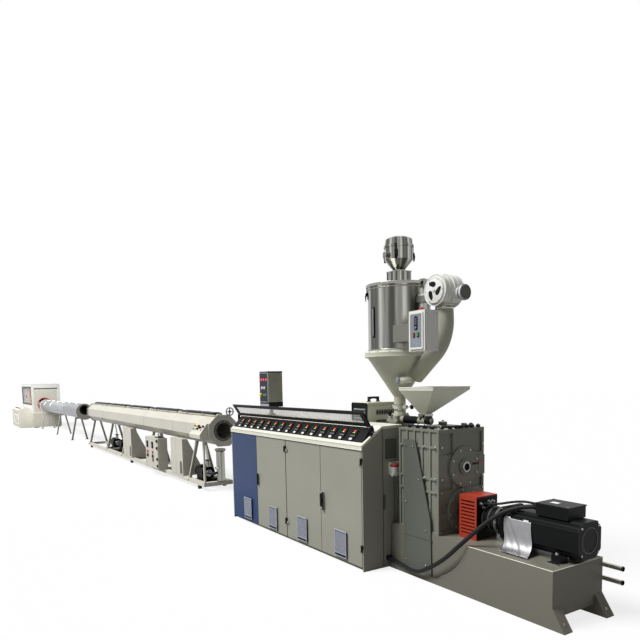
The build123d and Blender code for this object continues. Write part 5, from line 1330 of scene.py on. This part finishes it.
BOX_TURN = math.radians(-5.0)
BOX_ALONG = np.array([math.cos(BOX_TURN), math.sin(BOX_TURN), 0.0])
BOX_DEPTH = np.array([-math.sin(BOX_TURN), math.cos(BOX_TURN), 0.0])
BOX_ORIGIN = np.array([-0.747, -0.134, 1.15])


class LINE_OT_equipment_box(bpy.types.Operator):
    """Box on the barrel hood: dark louvred end, side recesses, lid seam, feet and handle"""

    bl_idname = "pipeline.equipment_box"
    bl_label = "Equipment box"

    def execute(self, context):
        up = 0, 0, 1
        front, side = BOX_ORIGIN - 0.28 * BOX_ALONG, BOX_ORIGIN
        fit("box_end_plate", "dark",
            laid(slab((0.14, 0.117), (0.262, 0.205, 0.014), 0.0, 0.0015, 2), front, BOX_ALONG, up))
        fit("box_end_rim", "black",
            laid(border((0.14, 0.117), (0.282, 0.228, 0.018), (0.256, 0.2, 0.012), 0.0, 0.0045, 2), front,
            BOX_ALONG, up), bevel=0.001)
        fit("box_end_slats", "grey",
            laid(join(*[slab((0.14, z), (0.205, 0.014, 0.005), 0.0015, 0.0035, 2)
            for z in (0.058, 0.086, 0.114, 0.142, 0.17)]), front, BOX_ALONG, up))
        fit("box_side_recess", "sheet",
            laid(join(slab((0.215, 0.142), (0.25, 0.05, 0.006), 0.0, 0.001, 2),
            slab((0.215, 0.06), (0.25, 0.03, 0.006), 0.0, 0.001, 2)), side, BOX_DEPTH, up))
        fit("box_side_slots", "dark",
            laid(join(*[slab((0.11 + 0.026 * k, 0.142), (0.016, 0.03, 0.006), 0.001, 0.0016, 2)
            for k in range(9)], *[slab((0.215, z), (0.23, 0.006, 0.002), 0.001, 0.0016, 2)
            for z in (0.054, 0.066)]), side, BOX_DEPTH, up))
        fit("box_seam", "dark", laid(border((0.2, 0.205), (0.4015, 0.003, 0.001), (0.399, 0.002, 0.0008),
            -0.001, 0.0012, 2), side, BOX_DEPTH, up))
        grip_middle = BOX_ORIGIN - 0.14 * BOX_ALONG + 0.155 * BOX_DEPTH
        t = np.linspace(0, np.pi, 24)
        path = (grip_middle + np.outer(0.052 * np.cos(t), BOX_DEPTH)
                + np.outer(0.236 + 0.04 * np.sin(t) ** 0.6, up))
        fit("box_handle", "black", tube(path, 0.0105, 12), smooth=True)
        fit("box_handle_feet", "black",
            *[block(*[tuple(grip_middle + s * 0.052 * BOX_DEPTH + np.array([dx, dy, dz]))
            for dx, dy, dz in ((-0.02, -0.012, 0.235), (0.02, 0.012, 0.243))]) for s in (-1, 1)],
            bevel=0.001)
        return {"FINISHED"}


TANK_X0, TANK_X1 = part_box("tank_shell")[0][0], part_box("tank_shell")[1][0]


class LINE_OT_tank_top(bpy.types.Operator):
    """Black sealing covers and grips of the five lids, end port, hand wheel rim and weld beads"""

    bl_idname = "pipeline.tank_top"
    bl_label = "Tank top"

    def execute(self, context):
        for number in range(1, 6):
            body = f"tank_lid_{number}_body"
            low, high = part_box(f"tank_lid_{number}")
            x0, x1 = low[0] + 0.09, high[0] - 0.09
            u = np.linspace(0, 1, 60)
            lumps = 0.01 + 0.004 * np.sin(u * 37.0 + number) * np.sin(u * 11.0 + 2 * number)
            ends = np.clip(np.minimum(u, 1 - u) * 40, 0, 1) ** 0.4
            v = np.linspace(0, np.pi, 11)
            x = x0 + u * (x1 - x0)
            y = -0.066 * np.cos(v)
            loops = np.zeros((60, 12, 3))
            loops[:, :11, 0], loops[:, 11, 0] = x[:, None], x
            loops[:, :11, 1], loops[:, 11, 1] = y[None, :], 0.0
            loops[:, :11, 2] = (1.1215 + (0.026 + lumps[:, None]) * ends[:, None]
                                * np.sin(v)[None, :] ** 0.35)
            loops[:, 11, 2] = 1.1212
            faces = grid_faces(60, 12, close_columns=True)
            faces += [list(range(12))[::-1], list(range(59 * 12, 60 * 12))]
            fit(f"lid_cover_{number}", "dark", (loops.reshape(-1, 3), faces), body=body, smooth=True)
            fit(f"lid_grips_{number}", "screw",
                *[tube(smooth_path([(gx - 0.05, -0.106, 1.122), (gx - 0.04, -0.112, 1.136),
                (gx + 0.04, -0.112, 1.136), (gx + 0.05, -0.106, 1.122)], 16), 0.004, 8)
                for gx in (x0 + (x1 - x0) * 0.25, x0 + (x1 - x0) * 0.75)], body=body, smooth=True)
        x = TANK_X1 + 0.0145
        fit("tank_port_rings", "rubber", ring((x, 0, PIPE_Z), 0, 0.112, 0.006, 64, 10),
            ring((x - 0.002, 0, PIPE_Z), 0, 0.15, 0.003, 64, 8), smooth=True)
        fit("tank_port_flange", "plate",
            turning([(0.11, x - 0.001), (0.148, x - 0.001), (0.148, x + 0.004), (0.144, x + 0.006),
            (0.112, x + 0.006), (0.11, x - 0.001)], (0, 0, PIPE_Z), 0, 64), smooth=True)
        fit("tank_port_bolts", "screw",
            hex_heads(circle_of((x + 0.006, 0, PIPE_Z), 0, 0.131, 10, 9), 0, 0.006, 0.005))
        fit("wheel_rim", "slat", ring((-4.338, 0.1, WHEEL_Z), 0, 0.0555, 0.0085, 64, 14),
            rod((0, 0.1, WHEEL_Z), 0, 0.0205, -4.348, -4.328, 32), body="hand_wheel_body", smooth=True)
        fit("wheel_hub", "black", rod((0, 0.1, WHEEL_Z), 0, 0.015, -4.328, -4.322, 6),
            body="hand_wheel_body")
        seams = []
        for sx in np.linspace(TANK_X0 + 1.6, TANK_X1 - 1.6, 4):
            octagon = [(0.2056 * math.cos(a) / math.cos(math.pi / 8),
                0.2056 * math.sin(a) / math.cos(math.pi / 8))
                for a in np.radians(22.5 + 45 * np.arange(2, 9))]
            seams.append(tube([(sx, cy, PIPE_Z + cz) for cy, cz in octagon], 0.0026, 6))
        fit("tank_welds", "tank", *seams, smooth=True)
        port_at = -10.95, -0.172, 0.842
        fit("tank_round_port", "plate",
            turned_about(ring(port_at, 1, 0.05, 0.009, 40, 10), port_at, 0, -45.0), smooth=True)
        return {"FINISHED"}


class LINE_OT_operator_desk(bpy.types.Operator):
    """Buttons on the sloping desk at the front of the tank, with its rim"""

    bl_idname = "pipeline.operator_desk"
    bl_label = "Operator desk"

    def execute(self, context):
        wide = context.scene.line_sizes.key
        origin = np.array([-4.8, -0.356, 0.85])
        slope = np.array([0.0, 0.116, 0.16])
        slope /= np.linalg.norm(slope)
        places = {"ruby": ((0.06, 0.14), (0.335, 0.15)), "yolk": ((0.125, 0.145), (0.165, 0.14)),
            "black": ((0.215, 0.145), (0.262, 0.12), (0.3, 0.12), (0.215, 0.095), (0.375, 0.14)),
            "leaf": ((0.06, 0.09),), "ivory": ((0.125, 0.09), (0.335, 0.09))}
        for colour, spots in places.items():
            fit(f"desk_{colour}_buttons", colour,
                laid(join(*[button((u, v, 0), 2, wide / 2, 0.0, 0.02 if colour != "black" else 0.028)
                for u, v in spots]), origin, (1, 0, 0), slope), smooth=True)
        fit("desk_button_collars", "screw",
            laid(join(*[turning([(0, 0.0), (0.02, 0.0), (0.02, 0.004), (0.0, 0.004)], (u, v, 0), 2, 24)
            for spots in places.values() for u, v in spots]), origin, (1, 0, 0), slope), smooth=True)
        fit("desk_rim", "lip", laid(border((0.21, 0.099), (0.42, 0.196, 0.004), (0.404, 0.18, 0.004), 0.0,
            0.004, 2), origin, (1, 0, 0), slope), bevel=0.0006)
        return {"FINISHED"}


class LINE_OT_tank_controls(bpy.types.Operator):
    """Button box on the tank's rail: switches, locks, rim and top plate; the sump boxes' arches and seams"""

    bl_idname = "pipeline.tank_controls"
    bl_label = "Tank button box"

    def execute(self, context):
        y = -0.336
        fit("tank_black_buttons", "black",
            *[button((x, 0, z), 1, 0.03, y, y - 0.022) for x in (LEFT_SWITCHES, RIGHT_SWITCHES)
            for z in (0.56, 0.5, 0.33)], smooth=True)
        fit("tank_red_buttons", "ruby",
            *[button((x, 0, z), 1, 0.026, y, y - 0.02)
            for x, z in ((LEFT_SWITCHES, 0.4), (RIGHT_SWITCHES, 0.4), (RIGHT_SWITCHES, 0.265))],
            smooth=True)
        fit("tank_box_locks", "black",
            *[join(rod((-6.43, 0, z), 1, 0.022, y - 0.02, y), rod((-6.43, 0, z), 1, 0.028, y - 0.004, y))
            for z in (0.61, 0.49, 0.3, 0.18)], smooth=True)
        fit("tank_box_rim", "tank",
            border((-6.74, 0.391), (0.7, 0.52, 0.01), (0.68, 0.5, 0.008), y - 0.004, y + 0.002, 1),
            bevel=0.001)
        fit("tank_box_top_plate", "dark", block((-6.7, -0.3, 0.66), (-6.42, -0.19, 0.668)),
            rod((-6.56, -0.245, 0), 2, 0.016, 0.668, 0.69, 24), bevel=0.001)
        arches = []
        for x0 in (-8.56, -5.6):
            bow = [(x0 + 0.0525 + 0.0525 * math.cos(a), 0.3 + 0.06 * math.sin(a))
                for a in np.linspace(0, np.pi, 13)]
            arches.append(prism([(x0 + 0.105, 0.3), *bow, (x0, 0.15), (x0 + 0.105, 0.15)], -0.2375, -0.2355,
                1))
        fit("sump_arches", "plate", *arches)
        fit("sump_seams", "stands",
            *[block((x, -0.2375, 0.124), (x + 0.003, -0.2358, 0.708)) for x in (-8.8, -5.76)])
        return {"FINISHED"}


class LINE_OT_pumps(bpy.types.Operator):
    """Pump fins, valves and pipes between the tank's rails, and the steel filter pot"""

    bl_idname = "pipeline.pumps"
    bl_label = "Pumps and filter"

    def execute(self, context):
        fins, valves, pipes, hubs = [], [], [], []
        z = 0.234
        for x, y in ((-11.0, 0.04), (-10.3, 0.04), (-7.8, 0.04), (-5.18, -0.07)):
            for a in np.radians(np.arange(0, 360, 20)):
                cy, cz = y + 0.08 * math.cos(a), z + 0.08 * math.sin(a)
                fins.append(tube([(x + 0.02, cy, cz), (x + 0.28, cy, cz)], 0.005, 5))
            valves.append(rod((x + 0.355, y, 0), 2, 0.03, z + 0.09, z + 0.19, 20))
            valves.append(rod((0, y, z), 0, 0.05, x + 0.36, x + 0.4, 24))
            hubs.append(turning([(0, z + 0.19), (0.052, z + 0.19), (0.052, z + 0.2), (0, z + 0.2)],
                (x + 0.355, y, 0), 2, 24))
            pipes.append(tube(smooth_path([(x + 0.355, y, z + 0.19), (x + 0.355, y - 0.01, z + 0.3),
                (x + 0.33, y - 0.02, z + 0.42)], 12), 0.017, 10))
        fit("pump_fins", "dark", *fins)
        fit("pump_valves", "screw", *valves, smooth=True)
        fit("valve_hand_wheels", "black", *hubs, smooth=True)
        fit("pump_risers", "bar", *pipes, smooth=True)
        fit("filter_pot", "steel", turning([(0, 0.586), (0.0635, 0.586), (0.0635, 0.16), (0.0645, 0.15),
            (0.0645, 0.13), (0, 0.13)], (POT_X, POT_Y, 0), 2, 48), smooth=True)
        fit("filter_lid", "rail", turning([(0, 0.584), (0.078, 0.584), (0.08, 0.59), (0.08, 0.606),
            (0.07, 0.612), (0, 0.618)], (POT_X, POT_Y, 0), 2, 48), smooth=True)
        fit("filter_clamp", "black", ring((POT_X, POT_Y, 0.578), 2, 0.068, 0.006, 56, 10),
            rod((-4.572, POT_Y, 0), 2, 0.01, 0.56, 0.6, 12), smooth=True)
        fit("filter_branch", "navy",
            tube(smooth_path([(POT_X, 0.0, 0.25), (-4.65, -0.06, 0.245), (-4.76, -0.1, 0.24),
            (-4.85, -0.08, 0.236)], 20), 0.019, 12), smooth=True)
        fit("filter_tap", "bar", rod((-4.6, 0, 0.33), 1, 0.024, -0.04, 0.002, 20),
            rod((-4.6, -0.02, 0), 2, 0.008, 0.35, 0.4, 12), smooth=True)
        fit("rail_bolts", "screw", hex_heads([(x, -0.2305, 0.092)
            for x in (-12.38, -10.55, -9.25, -7.45, -5.25)], 1, 0.014, 0.01, -1))
        return {"FINISHED"}


class LINE_OT_spray(bpy.types.Operator):
    """Bands, end rims, small top covers, port seal and feet of the round spray tank"""

    bl_idname = "pipeline.spray"
    bl_label = "Spray tank"

    def execute(self, context):
        low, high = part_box("spray_shell")
        fit("spray_bands", "bar", *[ring((x, 0, SPRAY_Z), 0, 0.2015, 0.005, 64, 8)
            for x in np.linspace(low[0] + 0.9, high[0] - 0.9, 5)], smooth=True)
        fit("spray_end_rims", "tank",
            *[ring((x, 0, SPRAY_Z), 0, 0.223, 0.006, 72, 10) for x in (high[0] + 0.007, low[0] - 0.007)],
            smooth=True)
        covers = []
        for x in np.linspace(low[0] + 0.8, high[0] - 0.8, 6):
            covers.append(join(slab((x, 0.0), (0.3, 0.12, 0.02), 1.036, 1.06, 2),
                rod((x, 0, 0), 2, 0.014, 1.06, 1.08, 16)))
        fit("spray_covers", "ivory", *covers, bevel=0.003)
        fit("spray_port_seal", "rubber",
            turning([(0.11, high[0] + 0.0145), (0.136, high[0] + 0.0145), (0.136, high[0] + 0.02),
            (0.112, high[0] + 0.022), (0.11, high[0] + 0.0145)], (0, 0, PIPE_Z), 0, 56), smooth=True)
        fit("spray_feet", "dark", *[slab((x, sy * 0.21), (0.09, 0.09, 0.01), 0.0, 0.01, 2)
            for x in (low[0] + 0.2457, (low[0] + high[0]) / 2, high[0] - 0.8857) for sy in (-1, 1)],
            bevel=0.002)
        return {"FINISHED"}


class LINE_OT_haul_off(bpy.types.Operator):
    """Haul-off looks: blue window, belts behind it, dark slit, cream face panel and cabinet dial"""

    bl_idname = "pipeline.haul_off"
    bl_label = "Haul-off"

    def execute(self, context):
        x0, x1, low, high = -24.2097, -21.3903, 0.8603, 1.5747
        middle = (x0 + x1) / 2, (low + high) / 2
        fit("window_frame", "navy",
            border(middle, (x1 - x0, high - low, 0.01), (x1 - x0 - 0.15, high - low - 0.12, 0.02), -0.425,
            -0.401, 1), bevel=0.002, replaces=("haul_off_window",))
        fit("window_pane", "window",
            slab(middle, (x1 - x0 - 0.14, high - low - 0.11, 0.02), -0.416, -0.41, 1))
        t = np.linspace(0, 1, 12)
        edge = np.stack([-22.55 - 0.22 * np.sin(np.pi * t * 0.6), 0.88 + 0.66 * t], -1)
        fit("belt_guard", "amber",
            prism(np.concatenate([edge, [(-23.3, 1.54), (-23.3, 0.88)]]), -0.33, -0.3, 1), bevel=0.003)
        fit("belt_back_plate", "blue", block((-24.1, -0.29, 0.88), (-21.45, -0.27, 1.54)))
        fit("belt_posts", "ivory", *[block((x, -0.35, 0.88), (x + 0.14, -0.292, 1.54))
            for x in (-24.05, -23.48, -21.72)], bevel=0.003)
        fit("belt_hand_knobs", "black",
            *[button((x, 0, 1.17), 1, 0.055, -0.352, -0.385) for x in (-23.41, -22.05)], smooth=True)
        face = -21.324
        fit("face_slit", "plate", slab((0.075, 1.484), (0.82, 0.046, 0.004), face, face + 0.004, 0))
        t = np.linspace(0, 2 * np.pi, 48, endpoint=False)
        span = np.maximum(np.abs(np.cos(t)) / 0.4, np.abs(np.sin(t)) / 0.4)
        inner = np.stack([0.236 * np.cos(t), PIPE_Z + 0.236 * np.sin(t)], -1)
        outer = np.stack([0.055 + np.cos(t) / span, 0.95 + np.sin(t) * 1.2 / span], -1)
        fit("face_panel", "tank", frame_of(outer, inner, face, face + 0.006, 0), bevel=0.001)
        fit("roof_rim", "blue", border((-22.8, 0.075), (2.96, 0.96, 0.02), (2.8, 0.8, 0.02), 1.655, 1.661,
            2), bevel=0.001)
        fit("lamp_post", "ivory", rod((-23.9, 0.3, 0), 2, 0.018, 1.655, 1.664, 20))
        y = -0.865
        fit("cabinet_dial_plate", "ivory", rod((DIAL_X, 0, 0.4), 1, 0.11, y - 0.012, y, 48),
            ring((DIAL_X, y - 0.01, 0.4), 1, 0.104, 0.009, 56, 10), smooth=True)
        fit("cabinet_dial", "black", rod((DIAL_X, 0, 0.4), 1, 0.07, y - 0.018, y - 0.01, 40), smooth=True)
        fit("cabinet_knobs", "black",
            *[button((x, 0, z), 1, 0.03, y, y - 0.018)
            for x, z in ((-22.25, 0.56), (-22.25, 0.23), (-22.95, 0.56))], smooth=True)
        fit("cabinet_door_edge", "plate",
            border((-22.73, 0.36), (2.2, 0.56, 0.01), (2.18, 0.54, 0.008), y - 0.003, y, 1))
        slope = np.array([0.0, 0.18, 0.08])
        slope /= np.linalg.norm(slope)
        fit("cabinet_top_buttons", "black",
            laid(join(*[button((u, 0.11, 0), 2, 0.024, 0.0, 0.024) for u in np.linspace(0.4, 1.9, 6)]),
            (-23.9, -0.865, 0.69), (1, 0, 0), slope), smooth=True)
        fit("entry_ring_roll", "ruby", ring((-21.262, 0, PIPE_Z), 0, 0.225, 0.012, 72, 12), smooth=True)
        return {"FINISHED"}


PIECES = (LINE_OT_finishes, LINE_OT_stage, LINE_OT_cables, LINE_OT_vents, LINE_OT_doors,
          LINE_OT_console_end, LINE_OT_instruments, LINE_OT_cover, LINE_OT_pendant, LINE_OT_base_trim,
          LINE_OT_gearbox, LINE_OT_drive, LINE_OT_pouch, LINE_OT_dryer, LINE_OT_dryer_controls,
          LINE_OT_blower, LINE_OT_feed, LINE_OT_equipment_box, LINE_OT_tank_top, LINE_OT_operator_desk,
          LINE_OT_tank_controls, LINE_OT_pumps, LINE_OT_spray, LINE_OT_haul_off)


class LINE_PT_sidebar(bpy.types.Panel):
    """Lists the line's pieces, colours and sizes"""

    bl_idname = "LINE_PT_sidebar"
    bl_label = "Pipe extrusion line"
    bl_space_type = "VIEW_3D"
    bl_region_type = "UI"
    bl_category = "Pipe line"

    def draw(self, context):
        colours, sizes = context.scene.line_colours, context.scene.line_sizes
        for group in (colours, sizes):
            column = self.layout.column(align=True)
            for name in group.bl_rna.properties.keys():
                if name not in ("rna_type", "name"):
                    column.prop(group, name)
        for piece in PIECES:
            self.layout.operator(piece.bl_idname)


CLASSES = (LineColours, LineSizes, *PIECES, LINE_PT_sidebar)


def register():
    for kind in CLASSES:
        bpy.utils.register_class(kind)
    bpy.types.Scene.line_colours = PointerProperty(type=LineColours)
    bpy.types.Scene.line_sizes = PointerProperty(type=LineSizes)


def unregister():
    del bpy.types.Scene.line_sizes
    del bpy.types.Scene.line_colours
    for kind in reversed(CLASSES):
        bpy.utils.unregister_class(kind)


def main():
    """Makes every piece in order."""
    register()
    for piece in PIECES:
        getattr(bpy.ops.pipeline, piece.bl_idname.split(".")[1])()


if __name__ == "__main__":
    main()
